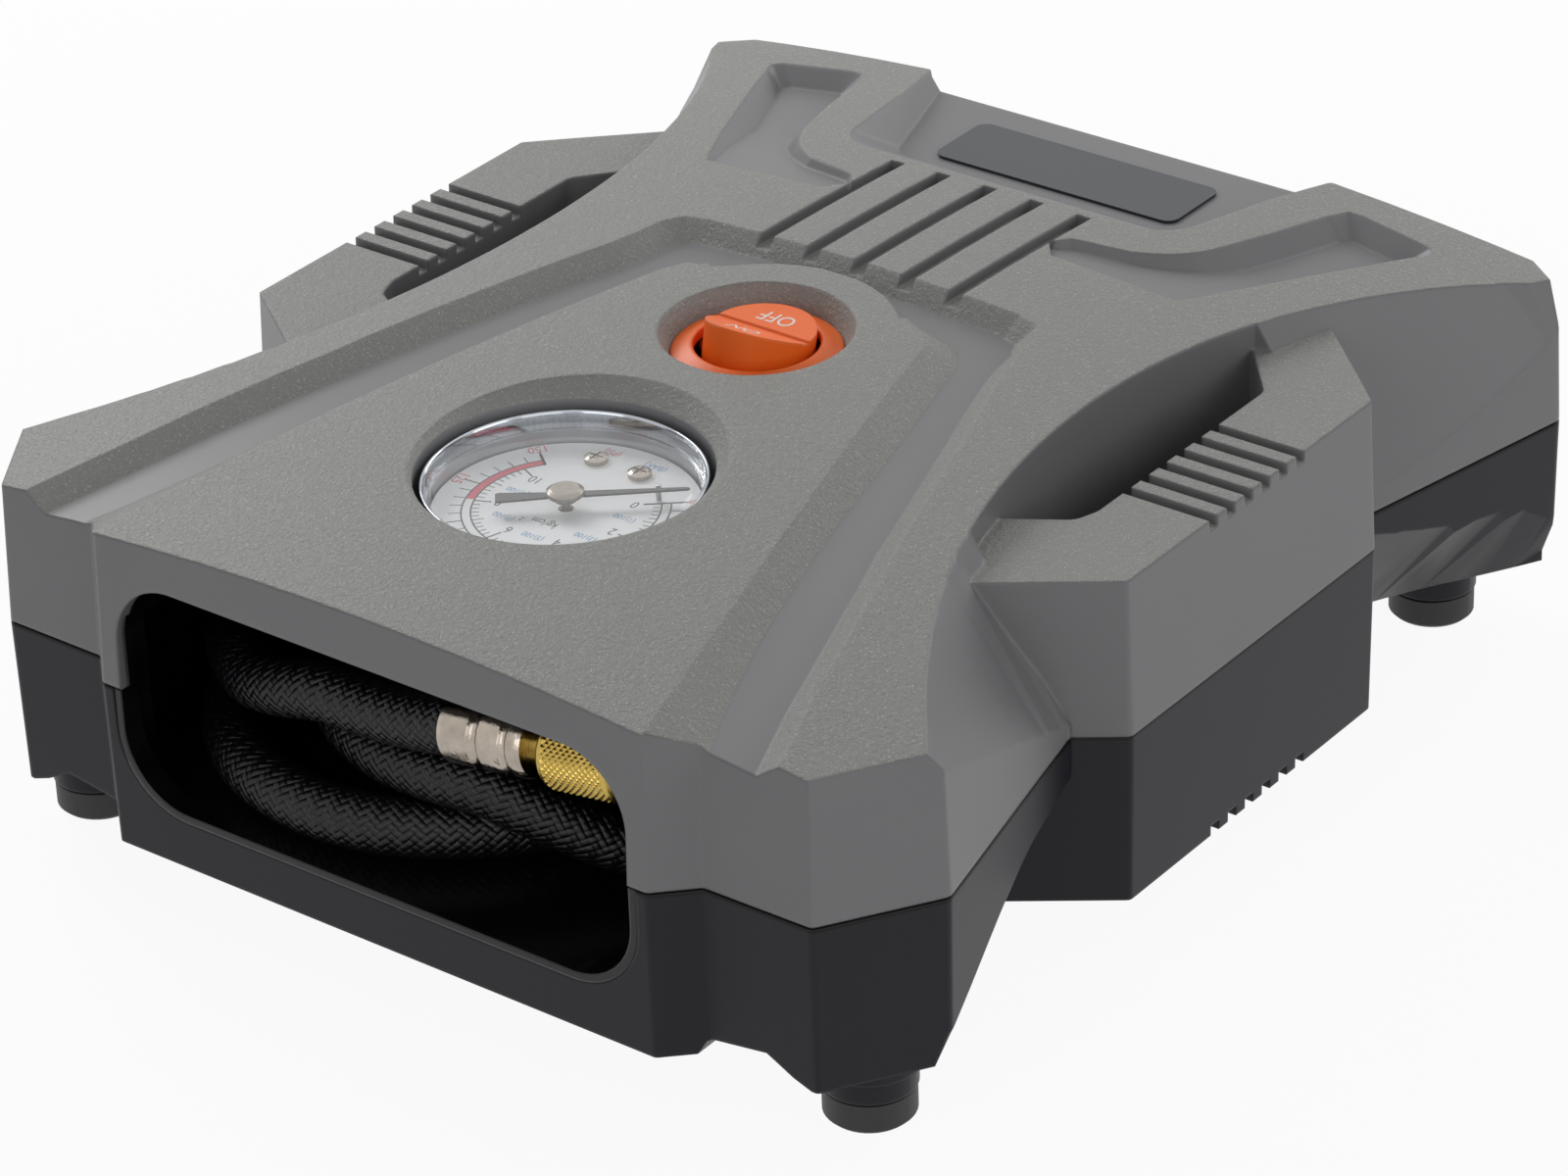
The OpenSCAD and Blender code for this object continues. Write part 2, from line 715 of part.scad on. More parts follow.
screw_spots = [[-6.4, 16.6], [3.5, 16.6]];
stop_pin_angle = needle_zero + 4.6;
stop_pin_at = [16.5 * cos(stop_pin_angle), 16.5 * sin(stop_pin_angle)];

module gauge_dial() color("#f1f2f2") place() {
  at_gauge(dial_z - 0.8) difference() {
    cylinder(h = 0.8, r = dial_r, $fn = 128);
    translate([0, 0, -1]) cylinder(h = 3, r = 1.4, $fn = 32);
    for (p = screw_spots) translate([p[0], p[1], -1]) cylinder(h = 3, r = 0.9, $fn = 24);
    translate([stop_pin_at[0], stop_pin_at[1], -1]) cylinder(h = 3, r = 0.5, $fn = 24);
  }
}

module dial_screws() color("#c9c7c0") place() {
  for (p = screw_spots) at_gauge() translate([p[0], p[1], 0]) difference() {
    union() {
      translate([0, 0, 25.6]) cylinder(h = 3, r = 0.9, $fn = 24);
      translate([0, 0, dial_z]) cylinder(h = 0.9, r = 2.2, $fn = 32);
      translate([0, 0, dial_z + 0.9]) cylinder(h = 0.4, r1 = 2.2, r2 = 1.5, $fn = 32);
    }
    translate([-1.6, -0.25, dial_z + 0.7]) cube([3.2, 0.5, 1]);
    translate([-0.25, -1.6, dial_z + 0.7]) cube([0.5, 3.2, 1]);
  }
}

module stop_pin() color("#55585c") place() {
  at_gauge(dial_z - 0.8) translate([stop_pin_at[0], stop_pin_at[1], 0])
    cylinder(h = 3.9, r = 0.5, $fn = 24);
}

module gauge_movement() color("#b8943f") place() {
  difference() {
    union() {
      at_gauge(25.9) translate([-14, -8, 0]) cube([28, 27, 1.6]);
      at_gauge(16.6) translate([-6, -5, 0]) cube([12, 14, 9.3]);
      at_gauge(19) rotate([-90, 0, 0]) cylinder(h = 32, r = 3, $fn = 48);
      at_gauge(21) difference() {
        cylinder(h = 3, r = 17, $fn = 96);
        translate([0, 0, -1]) cylinder(h = 5, r = 15.4, $fn = 96);
        translate([-20, -20, -1]) cube([20, 22, 5]);
      }
      at_gauge(21) translate([-1.5, 8, 0]) cube([3, 8.5, 3]);
    }
    at_gauge(24) cylinder(h = 6, r = 1.1, $fn = 32);
    for (p = screw_spots) at_gauge(25.6) translate([p[0], p[1], 0]) cylinder(h = 3, r = 0.9, $fn = 24);
    translate([0, gauge_y + 10, 19]) rotate([-90, 0, 0]) cylinder(h = 40, r = 1.4, $fn = 24);
  }
}

module gauge_needle() color("#2c2e31") place() {
  at_gauge(needle_z - 0.2) rotate(needle_zero) difference() {
    linear_extrude(0.4)
      polygon([[-12.4, -1.3], [-11.8, -1.6], [-3, -0.9], [3, -0.9], [21.6, -0.35], [22, 0],
               [21.6, 0.35], [3, 0.9], [-3, 0.9], [-11.8, 1.6], [-12.4, 1.3]]);
    translate([0, 0, -1]) cylinder(h = 3, r = 0.7, $fn = 32);
  }
}

module needle_hub() color("#b9b4a8") place() {
  at_gauge(24.6) cylinder(h = needle_z + 0.2 - 24.6, r = 0.7, $fn = 32);
  at_gauge(needle_z + 0.2) cylinder(h = 0.7, r = 3.4, $fn = 48);
  at_gauge(needle_z + 0.9) cylinder(h = 0.5, r1 = 3.4, r2 = 2.6, $fn = 48);
  at_gauge(needle_z - 1) cylinder(h = 0.8, r = 2, $fn = 32);
}

// ---------- switch ----------

module at_switch(z = 0) {
  translate([0, switch_y, z]) children();
}

module switch_ring() color("#f0713a") place() {
  at_switch() rotate_extrude($fn = 96)
    polygon([[12.6, ring_under_z], [15.3, ring_under_z], [ring_r - 0.42, 35.1],
             [ring_r - 0.12, 35.6], [ring_r - 0.25, 35.8], [14.4, 36.3], [13, 36.9],
             [12.3, 37.2], [11.95, 37.2], [ring_hole_r, 36.95], [ring_hole_r, 35.4],
             [12, 34.8]]);
}

module switch_body() color("#1b1b1d") place() {
  difference() {
    union() {
      at_switch(22) cylinder(h = ring_under_z - 22, r = 14.3, $fn = 96);
      at_switch(26.2) cylinder(h = 2.8, r = 17.2, $fn = 96);
    }
    at_switch(26.4) cylinder(h = 20, r = 12.6, $fn = 96);
    at_switch(pivot_z) rotate([0, 90, 0]) translate([0, 0, -20]) cylinder(h = 40, r = 1.15, $fn = 32);
    for (s = [-1, 1]) at_switch(21) translate([s * 5 - 3.2, -0.45, 0]) cube([6.4, 0.9, 3.5]);
  }
}

module switch_terminals() color("#c8a24a") place() {
  for (s = [-1, 1]) at_switch(15.4) translate([s * 5 - 3.15, -0.4, 0]) difference() {
    cube([6.3, 0.8, 9.1]);
    translate([3.15, -1, 2.4]) rotate([-90, 0, 0]) cylinder(h = 4, r = 0.9, $fn = 24);
  }
}

module switch_rocker() color("#f0713a") place() {
  at_switch(pivot_z) rotate([-rocker_tilt, 0, 0]) {
    difference() {
      translate([0, 0, -2.4]) cylinder(h = 14, r = rocker_r, $fn = 96);
      for (s = [0, 1]) mirror([0, s, 0]) translate([-20, 0, rocker_vee])
        rotate([rocker_tilt, 0, 0]) translate([0, -1, 0]) cube([40, 30, 20]);
    }
    rotate([0, 90, 0]) translate([0, 0, -13.8]) cylinder(h = 27.6, r = 1.1, $fn = 32);
  }
}

// ---------- feet and case screws ----------

foot_boss_h = 1.8;
collar_top_z = -shell_depth - foot_boss_h;
pad_top_z = foot_z + foot_pad_h;

module foot_collars() color("#19191b") place() {
  for (p = foot_spots) translate([p[0], p[1], 0]) difference() {
    union() {
      translate([0, 0, pad_top_z]) cylinder(h = collar_top_z - pad_top_z, r = foot_r + 0.3, $fn = 64);
      translate([0, 0, pad_top_z - 0.5]) cylinder(h = 0.6, r = foot_r - 0.8, $fn = 64);
    }
    translate([0, 0, pad_top_z - 1]) cylinder(h = 20, r = 1.6, $fn = 32);
  }
}

module foot_pads() color("#161617") place() {
  for (p = foot_spots) translate([p[0], p[1], foot_z]) difference() {
    union() {
      translate([0, 0, 0.8]) cylinder(h = foot_pad_h - 1.3, r = foot_r, $fn = 64);
      cylinder(h = 0.8, r1 = foot_r - 0.8, r2 = foot_r, $fn = 64);
    }
    translate([0, 0, -1]) cylinder(h = 20, r = 1.6, $fn = 32);
    translate([0, 0, -1]) cylinder(h = 3.6, r = 3.1, $fn = 32);
  }
}

module foot_screws() color("#8c9096") place() {
  for (p = foot_spots) translate([p[0], p[1], 0]) difference() {
    union() {
      translate([0, 0, foot_z + 1]) cylinder(h = 1.6, r = 2.8, $fn = 32);
      translate([0, 0, foot_z + 2.4]) cylinder(h = 16, r = 1.5, $fn = 32);
    }
    translate([-2, -0.35, foot_z]) cube([4, 0.7, 1.7]);
    translate([-0.35, -2, foot_z]) cube([0.7, 4, 1.7]);
  }
}

module case_screws() color("#8c9096") place() {
  for (p = boss_spots) translate([p[0], p[1], 0]) difference() {
    union() {
      translate([0, 0, -29]) cylinder(h = 2, r = 3, $fn = 32);
      translate([0, 0, -27.1]) cylinder(h = 37, r = 1.5, $fn = 32);
    }
    translate([-2, -0.35, -30]) cube([4, 0.7, 2]);
    translate([-0.35, -2, -30]) cube([0.7, 4, 2]);
  }
}

// ---------- hose with its end fittings ----------

ferrule_len = 18.5;
flange_t = 2.4;
hose_start_x = -52;
hose_start_z = -14.6;
hose_start_y = tray_back - tray_wall - flange_t - ferrule_len;
ferrule_at = [10.4, -113.8, 8.9];
end_tilt = 8;
hose_sides = 8;

// plan of the coil by turn angle: angle, centre x, centre y, radius
coil_plan = [[180, -21, -74.5, 44], [300, -21, -74.5, 44], [450, -10, -72.5, 43.5],
  [545, 0, -73, 43.5], [600, 0, -71.5, 40.3], [640, 2, -73, 38.2], [705, 11, -71, 41.5],
  [765, 9, -70, 48], [900, -21, -74.5, 44], [990, -21, -74.5, 39.3]];
// height of the coil by turn angle
coil_rise = [[180, -16], [520, -16], [600, -5.8], [640, -4.3], [690, -15.8], [735, -16],
  [790, -3.4], [900, -3.4], [960, -0.5], [990, 5.4]];
lead_in = [[hose_start_x, hose_start_y, hose_start_z], [-52.2, -41, -14.8],
  [-55.6, -50, -15.5], [-60.2, -59.5, -16], [-63.7, -67.5, -16]];
lead_out = [[-12, -113.8, 5.8], [-4, -113.8, 6.4], [3, -113.8, 7.4], ferrule_at];

function key_pos(keys, a, i = 0) = a <= keys[i + 1][0] || i >= len(keys) - 2 ? i
  : key_pos(keys, a, i + 1);
function ease(t) = t * t * (3 - 2 * t);
function key_val(keys, a, k) =
  let (i = key_pos(keys, a), p = keys[i], q = keys[i + 1])
  p[k] + (q[k] - p[k]) * ease(max(0, min(1, (a - p[0]) / (q[0] - p[0]))));
function coil_point(a) = [
  key_val(coil_plan, a, 1) + key_val(coil_plan, a, 3) * cos(a),
  key_val(coil_plan, a, 2) + key_val(coil_plan, a, 3) * sin(a),
  key_val(coil_rise, a, 1)];

coil_step = 15;
hose_path = concat(lead_in,
  [for (a = [180 : coil_step : 990]) coil_point(a)], lead_out);

function tangent(pts, i) = i == 0 ? unit([0, -1, 0])
  : i == len(pts) - 1 ? unit([cos(end_tilt), 0, sin(end_tilt)])
  : unit(pts[i + 1] - pts[i - 1]);

module swept_tube(pts, d, sides) {
  n = len(pts);
  rings = [for (i = [0 : n - 1])
    let (t = tangent(pts, i))
    let (side = unit(cross(t, [0, 0, 1])), up = cross(side, t))
    for (k = [0 : sides - 1])
      let (a = 360 * (k + 0.5) / sides)
      pts[i] + (side * cos(a) + up * sin(a)) * (d / 2)];
  walls = [for (i = [0 : n - 2]) for (k = [0 : sides - 1]) for (s = [0, 1])
    let (a = sides * i + k, b = sides * i + (k + 1) % sides)
    s == 0 ? [a, b, b + sides] : [a, b + sides, a + sides]];
  cap_a = [[for (k = [sides - 1 : -1 : 0]) k]];
  cap_b = [[for (k = [0 : sides - 1]) sides * (n - 1) + k]];
  polyhedron(points = rings, faces = concat(walls, cap_a, cap_b), convexity = 10);
}

// least distance between stretches of the centre line that aren't neighbours
function self_gap(pts, skip) = min([for (i = [0 : len(pts) - 1])
  for (j = [i + skip : 1 : len(pts) - 1])
    for (s = [0, 0.5]) for (t = [0, 0.5])
      let (a = i + 1 < len(pts) ? pts[i] * (1 - s) + pts[i + 1] * s : pts[i])
      let (b = j + 1 < len(pts) ? pts[j] * (1 - t) + pts[j + 1] * t : pts[j])
      norm(a - b)]) - hose_d;
function run_length(pts, i = 0) = i >= len(pts) - 1 ? 0
  : norm(pts[i + 1] - pts[i]) + run_length(pts, i + 1);
echo(hose_self_gap = self_gap(hose_path, 6), hose_length = run_length(hose_path),
     hose_rings = len(hose_path));

module hose() color("#17171a") place() {
  swept_tube(hose_path, hose_d, hose_sides);
}

module ferrule() {
  rotate([0, 90, 0]) rotate_extrude($fn = 48)
    polygon([[0, 0], [6.1, 0], [6.45, 0.4], [6.45, 6.6], [6.05, 7], [5.7, 7.6], [5.7, 8.4],
             [6.05, 9], [6.45, 9.4], [6.45, 13.6], [6, 14.2], [5.8, 14.8], [6, 15.4],
             [6.3, 15.8], [6.3, 17.4], [5.9, ferrule_len], [0, ferrule_len]]);
}

module hose_end() {
  translate(ferrule_at) rotate([0, -end_tilt, 0]) children();
}

module hose_ferrule() color("#cfc9c2") place() {
  hose_end() ferrule();
  translate([hose_start_x, hose_start_y, hose_start_z]) rotate([0, 0, 90]) ferrule();
}

stem_from = ferrule_len;
nut_from = ferrule_len + 3.7;
nut_len = 16.5;

module chuck_stem() color("#c2a04a") place() {
  hose_end() rotate([0, 90, 0]) difference() {
    union() {
      translate([0, 0, stem_from]) cylinder(h = 11.7, r = 3.4, $fn = 48);
      translate([0, 0, nut_from + 6.3]) cylinder(h = 1.9, r = 4.4, $fn = 48);
    }
    translate([0, 0, stem_from + 2]) cylinder(h = 20, r = 1.2, $fn = 24);
  }
}

module chuck_nut() color("#c9a646") place() {
  hose_end() rotate([0, 90, 0]) difference() {
    translate([0, 0, nut_from]) rotate_extrude($fn = 72)
      polygon([[0, 0], [5.6, 0], [chuck_r - 0.5, 0.9], [chuck_r, 1.5], [chuck_r, nut_len - 1.2],
               [chuck_r - 0.9, nut_len], [0, nut_len]]);
    translate([0, 0, nut_from - 1]) cylinder(h = 8, r = 3.45, $fn = 48);
    translate([0, 0, nut_from + 5.8]) cylinder(h = 4, r = 4.8, $fn = 48);
    translate([0, 0, nut_from + 9]) cylinder(h = nut_len, r = valve_thread_r, $fn = 48);
    translate([0, 0, nut_from + nut_len - 0.6])
      cylinder(h = 1, r1 = valve_thread_r, r2 = valve_thread_r + 1, $fn = 48);
  }
}

module chuck_washer() color("#1d1d1f") place() {
  hose_end() rotate([0, 90, 0]) difference() {
    translate([0, 0, nut_from + 8.2]) cylinder(h = 1.6, r = 3.6, $fn = 48);
    translate([0, 0, nut_from + 8]) cylinder(h = 3, r = 1.4, $fn = 24);
  }
}

module hose_fitting() color("#c2a04a") place() {
  translate([hose_start_x, tray_back, hose_start_z]) rotate([90, 0, 0]) difference() {
    union() {
      translate([0, 0, -4]) cylinder(h = 8, r = 4.5, $fn = 48);
      translate([0, 0, tray_wall]) cylinder(h = flange_t, r = 6, $fn = 6);
    }
    translate([0, 0, -10]) cylinder(h = 8, r = 2.5, $fn = 32);
  }
}

module fitting_nut() color("#9fa3a8") place() {
  translate([hose_start_x, tray_back + 4, hose_start_z]) rotate([90, 0, 0]) difference() {
    cylinder(h = 4, r = 8, $fn = 6);
    translate([0, 0, -1]) cylinder(h = 6, r = 4.5, $fn = 48);
  }
}

// ---------- motor ----------

can_from = -44;

module along_motor(x = 0) {
  translate([x, motor_y, pump_z]) rotate([0, 90, 0]) children();
}

module motor_can() color("#8f9499") place() {
  difference() {
    along_motor(can_from) cylinder(h = frame_x - can_from, r = motor_r, $fn = 96);
    along_motor(can_from - 1) cylinder(h = frame_x - can_from - 1, r = motor_r - 1.6, $fn = 96);
    along_motor(0) cylinder(h = 20, r = 2.2, $fn = 32);
    for (s = [-1, 1]) translate([0, motor_y + 12 * s, pump_z]) rotate([0, 90, 0])
      cylinder(h = 20, r = 1.4, $fn = 24);
  }
}

module motor_cap() color("#242427") place() {
  difference() {
    union() {
      along_motor(can_from - 3) cylinder(h = 3, r = motor_r, $fn = 96);
      along_motor(can_from) cylinder(h = 4, r = motor_r - 1.6, $fn = 96);
      along_motor(can_from - 6) cylinder(h = 4, r = 5, $fn = 48);
    }
    along_motor(can_from - 10) cylinder(h = 30, r = 1.65, $fn = 32);
    for (s = [-1, 1]) translate([can_from - 4, motor_y - 2.4, pump_z + 12 * s - 0.45])
      cube([9, 4.8, 0.9]);
  }
}

module motor_terminals() color("#c8a24a") place() {
  for (s = [-1, 1]) translate([can_from - 7.4, motor_y - 2.35, pump_z + 12 * s - 0.4]) difference() {
    cube([10.4, 4.7, 0.8]);
    translate([2.2, 2.35, -1]) cylinder(h = 3, r = 0.9, $fn = 24);
  }
}

module motor_shaft() color("#b4b8bd") place() {
  along_motor(can_from - 17) cylinder(h = gear_x + gear_w + 0.6 - can_from + 17, r = 1.6, $fn = 32);
  along_motor(can_from + 8) cylinder(h = 44, r = 12, $fn = 64);
  along_motor(can_from + 5) cylinder(h = 4, r = 6, $fn = 48);
}

function tooth_ring(teeth, turn) =
  let (r = gear_module * teeth / 2, step = 360 / teeth)
  let (tip = r + 0.75, root = r - 1.15)
  [for (i = [0 : teeth - 1]) for (k = [0 : 3])
    let (a = turn + step * (i + [-0.31, -0.12, 0.12, 0.31][k]))
    let (q = k == 0 || k == 3 ? root : tip)
    [q * cos(a), q * sin(a)]];

// tooth ring lying in the plane across X; its angle zero points along +Y
module gear_plate(teeth, turn, width) {
  rotate([90, 0, 90]) linear_extrude(width) polygon(tooth_ring(teeth, turn));
}

module motor_pinion() color("#c9a646") place() {
  difference() {
    translate([gear_x - 0.5, motor_y, pump_z]) gear_plate(pinion_teeth, 180, gear_w + 1);
    along_motor(gear_x - 2) cylinder(h = gear_w + 4, r = 1.6, $fn = 32);
  }
}

module motor_fan() color("#2a2a2d") place() {
  difference() {
    along_motor(can_from - 15) cylinder(h = 7, r = 3.6, $fn = 32);
    along_motor(can_from - 16) cylinder(h = 9, r = 1.6, $fn = 32);
  }
  difference() {
    union() {
      along_motor(can_from - 9.2) cylinder(h = 1.2, r = 15, $fn = 64);
      for (i = [0 : 7]) translate([can_from - 15, motor_y, pump_z]) rotate([45 * i, 0, 0])
        translate([0, 3, -0.6]) cube([7, 11, 1.2]);
    }
    along_motor(can_from - 16) cylinder(h = 9, r = 3.6, $fn = 32);
  }
}

// ---------- pump ----------

module pump_frame() color("#a7abb0") place() {
  difference() {
    union() {
      translate([frame_x, bore_end - 4, pump_z - 20]) cube([frame_t, 74, 38]);
      translate([frame_x, bore_end - 4, pump_z - 16]) cube([36, 4, 32]);
      translate([frame_x, 60, wall - shell_depth]) cube([22, 24, 3]);
      translate([frame_x, 60, wall - shell_depth]) cube([frame_t, 24, 12]);
    }
    along_motor(frame_x - 1) cylinder(h = 6, r = 7.5, $fn = 48);
    translate([rod_x, 0, pump_z]) rotate([-90, 0, 0]) cylinder(h = 60, r = 12, $fn = 96);
    translate([frame_x - 1, gear_y, pump_z]) rotate([0, 90, 0]) cylinder(h = 6, r = 2.5, $fn = 48);
    for (s = [-1, 1]) translate([0, motor_y + 12 * s, pump_z]) rotate([0, 90, 0])
      cylinder(h = 20, r = 1.4, $fn = 24);
    for (y = [65, 79]) translate([frame_x + 16, y, -40]) cylinder(h = 20, r = 1.4, $fn = 24);
    translate([frame_x - 1, 26, pump_z + 10]) cube([6, 14, 5]);
  }
}

module frame_screws() color("#8c9096") place() {
  for (s = [-1, 1]) translate([frame_x + frame_t, motor_y + 12 * s, pump_z]) rotate([0, 90, 0]) {
    translate([0, 0, -4.4]) cylinder(h = 5, r = 1.4, $fn = 24);
    cylinder(h = 1.6, r = 2.6, $fn = 32);
  }
  for (y = [65, 79]) translate([frame_x + 16, y, wall - shell_depth]) {
    cylinder(h = 3.4, r = 1.4, $fn = 24);
    translate([0, 0, 3]) cylinder(h = 1.6, r = 2.6, $fn = 32);
  }
}

module gear_axle() color("#b4b8bd") place() {
  translate([frame_x, gear_y, pump_z]) rotate([0, 90, 0])
    cylinder(h = gear_x + gear_w + 0.5 - frame_x, r = 2.5, $fn = 48);
}

module drive_gear() color("#d9d6cd") place() {
  difference() {
    union() {
      translate([gear_x, gear_y, pump_z]) gear_plate(gear_teeth, 180 / gear_teeth, gear_w);
      translate([frame_x + frame_t + 0.3, gear_y, pump_z]) rotate([0, 90, 0])
        cylinder(h = gear_x - frame_x - frame_t, r = 6, $fn = 48);
    }
    translate([frame_x, gear_y, pump_z]) rotate([0, 90, 0]) cylinder(h = 20, r = 2.55, $fn = 48);
    for (i = [0 : 5]) translate([gear_x - 1, gear_y, pump_z]) rotate([60 * i + 30, 0, 0])
      translate([0, 13.5, 0]) rotate([0, 90, 0]) cylinder(h = 10, r = 3.4, $fn = 32);
    translate([gear_x - 1, crank_y, pump_z]) rotate([0, 90, 0]) cylinder(h = 10, r = 2, $fn = 32);
  }
}

module crank_pin() color("#b4b8bd") place() {
  translate([gear_x, crank_y, pump_z]) rotate([0, 90, 0])
    cylinder(h = rod_x - 3.3 - gear_x, r = 2, $fn = 32);
}

module piston_rod() color("#c3c7cc") place() {
  difference() {
    union() {
      translate([rod_x - 3, crank_y, pump_z]) rotate([0, 90, 0]) cylinder(h = 6, r = 5.5, $fn = 48);
      translate([rod_x - 3, cup_y + 5, pump_z - 3]) cube([6, crank_y - cup_y - 5, 6]);
      translate([rod_x, cup_y + 3, pump_z]) rotate([-90, 0, 0])
        cylinder(h = 3, r = piston_r - 0.6, $fn = 64);
    }
    translate([rod_x - 4, crank_y, pump_z]) rotate([0, 90, 0]) cylinder(h = 8, r = 2.6, $fn = 48);
  }
}

module piston_cup() color("#202022") place() {
  translate([rod_x, cup_y, pump_z]) rotate([-90, 0, 0])
    cylinder(h = 3, r = piston_r - 0.05, $fn = 96);
}

module pump_cylinder() color("#b9bdc2") place() {
  difference() {
    union() {
      translate([rod_x, bore_top, pump_z]) rotate([-90, 0, 0])
        cylinder(h = bore_end - bore_top, r = 12, $fn = 96);
      for (i = [0 : 3]) translate([rod_x, bore_top + 2.5 + 3.4 * i, pump_z]) rotate([-90, 0, 0])
        cylinder(h = 1.4, r = 15.5, $fn = 96);
    }
    translate([rod_x, bore_top - 1, pump_z]) rotate([-90, 0, 0])
      cylinder(h = 40, r = piston_r, $fn = 96);
  }
}

head_y = bore_top - 7;

module cylinder_head() color("#a7abb0") place() {
  difference() {
    union() {
      translate([rod_x - 14, head_y, pump_z - 14]) cube([28, 7, 28]);
      translate([rod_x, head_y + 3.5, pump_z + 14]) cylinder(h = 2, r = 3.2, $fn = 32);
      translate([rod_x - 16, head_y + 3.5, pump_z]) rotate([0, 90, 0]) cylinder(h = 3, r = 3.4, $fn = 32);
    }
    translate([rod_x, head_y + 2, pump_z]) rotate([-90, 0, 0]) cylinder(h = 6, r = 5, $fn = 48);
    for (sx = [-1, 1]) for (sz = [-1, 1])
      translate([rod_x + 11 * sx, head_y - 1, pump_z + 11 * sz]) rotate([-90, 0, 0])
        cylinder(h = 10, r = 1.4, $fn = 24);
  }
}

module head_screws() color("#8c9096") place() {
  for (sx = [-1, 1]) for (sz = [-1, 1])
    translate([rod_x + 11 * sx, head_y, pump_z + 11 * sz]) rotate([-90, 0, 0]) {
      cylinder(h = 7, r = 1.4, $fn = 24);
      translate([0, 0, -1.5]) cylinder(h = 1.5, r = 2.5, $fn = 32);
    }
}

module pipe(pts, r) {
  for (i = [0 : len(pts) - 2]) {
    a = pts[i];
    b = pts[i + 1];
    d = b - a;
    turn = abs(d[0]) > 0.01 ? [0, 90, 0] : abs(d[1]) > 0.01 ? [-90, 0, 0] : [0, 0, 0];
    start = d[0] + d[1] + d[2] > 0 ? a : b;
    translate(start) rotate(turn) cylinder(h = norm(d), r = r, $fn = 32);
    if (i > 0) translate(a) sphere(r = r, $fn = 32);
  }
}

module gauge_line() color("#b87a4a") place() {
  pipe([[0, gauge_y + 32, 19], [0, gauge_y + 36, 19], [rod_x, gauge_y + 36, 19],
        [rod_x, head_y + 3.5, 19], [rod_x, head_y + 3.5, pump_z + 16]], 1.6);
}

module delivery_pipe() color("#b87a4a") place() {
  pipe([[rod_x - 16, head_y + 3.5, pump_z], [hose_start_x, head_y + 3.5, pump_z],
        [hose_start_x, head_y + 3.5, hose_start_z], [hose_start_x, tray_back + 3, hose_start_z]],
       2.45);
}

// ---------- rear inlet ----------

module cord_grommet() color("#18181a") place() {
  translate([0, rear_y - 1.4 + 1.1, -14]) rotate([90, 0, 0]) rotate_extrude($fn = 48)
    polygon([[2.6, 0], [6.4, 0], [7, 0.4], [7, 1.1], [5.2, 1.1], [5.2, 4.1], [6.6, 4.1],
             [6.6, 5.5], [2.6, 5.5]]);
}

top_cover();
bottom_cover();
hose_tray();
name_plate();
gauge_bezel();
gauge_case();
gauge_lens();
gauge_dial();
dial_screws();
stop_pin();
gauge_movement();
gauge_needle();
needle_hub();
switch_ring();
switch_body();
switch_terminals();
switch_rocker();
foot_collars();
foot_pads();
foot_screws();
case_screws();
hose();
hose_ferrule();
chuck_stem();
chuck_nut();
chuck_washer();
hose_fitting();
fitting_nut();
motor_can();
motor_cap();
motor_terminals();
motor_shaft();
motor_pinion();
motor_fan();
pump_frame();
frame_screws();
gear_axle();
drive_gear();
crank_pin();
piston_rod();
piston_cup();
pump_cylinder();
cylinder_head();
head_screws();
gauge_line();
delivery_pipe();
cord_grommet();
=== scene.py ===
import math

import bmesh
import bpy
import numpy
from mathutils import Matrix, Vector


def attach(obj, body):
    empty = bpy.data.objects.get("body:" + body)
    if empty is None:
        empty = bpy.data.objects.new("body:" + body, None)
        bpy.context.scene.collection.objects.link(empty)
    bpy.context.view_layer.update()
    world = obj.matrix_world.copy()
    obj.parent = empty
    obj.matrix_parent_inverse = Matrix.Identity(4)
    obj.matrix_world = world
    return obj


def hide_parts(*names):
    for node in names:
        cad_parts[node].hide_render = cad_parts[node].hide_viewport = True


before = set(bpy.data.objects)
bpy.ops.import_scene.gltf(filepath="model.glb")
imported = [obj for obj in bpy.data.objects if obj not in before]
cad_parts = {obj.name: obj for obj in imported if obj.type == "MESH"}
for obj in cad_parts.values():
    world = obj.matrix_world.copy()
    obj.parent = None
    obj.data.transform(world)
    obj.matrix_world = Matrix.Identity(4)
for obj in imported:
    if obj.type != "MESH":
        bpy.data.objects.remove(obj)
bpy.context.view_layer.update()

MM = 0.001
# the CAD's working frame lies on the joint line of the case halves
CASE_ORIGIN = Vector((0, 9.7, 45.7))


def case(x, y, z):
    """Point of the working frame, in millimetres, as a point of the part in metres."""
    return (Vector((x, y, z)) + CASE_ORIGIN) * MM


# ---------- camera ----------

CAMERA_AT = (0.58061, -0.74184, 0.56907)
CAMERA_ANGLES = (38.0, 29.83, -2.108)  # degrees round the part, above it, and of roll
LENS = 132.91


def add_camera():
    azimuth, elevation, roll = (math.radians(angle) for angle in CAMERA_ANGLES)
    back = Vector((math.sin(azimuth) * math.cos(elevation),
                   -math.cos(azimuth) * math.cos(elevation), math.sin(elevation)))
    level = Vector((math.cos(azimuth), math.sin(azimuth), 0))
    over = back.cross(level)
    right = level * math.cos(roll) + over * math.sin(roll)
    up = over * math.cos(roll) - level * math.sin(roll)
    turn = Matrix((right, up, back)).transposed().to_4x4()
    data = bpy.data.cameras.new("camera")
    data.lens = LENS
    data.sensor_width = 36
    data.clip_start = 0.05
    camera = bpy.data.objects.new("camera", data)
    camera.matrix_world = Matrix.Translation(CAMERA_AT) @ turn
    bpy.context.scene.collection.objects.link(camera)
    bpy.context.scene.camera = camera


add_camera()


# ---------- materials ----------

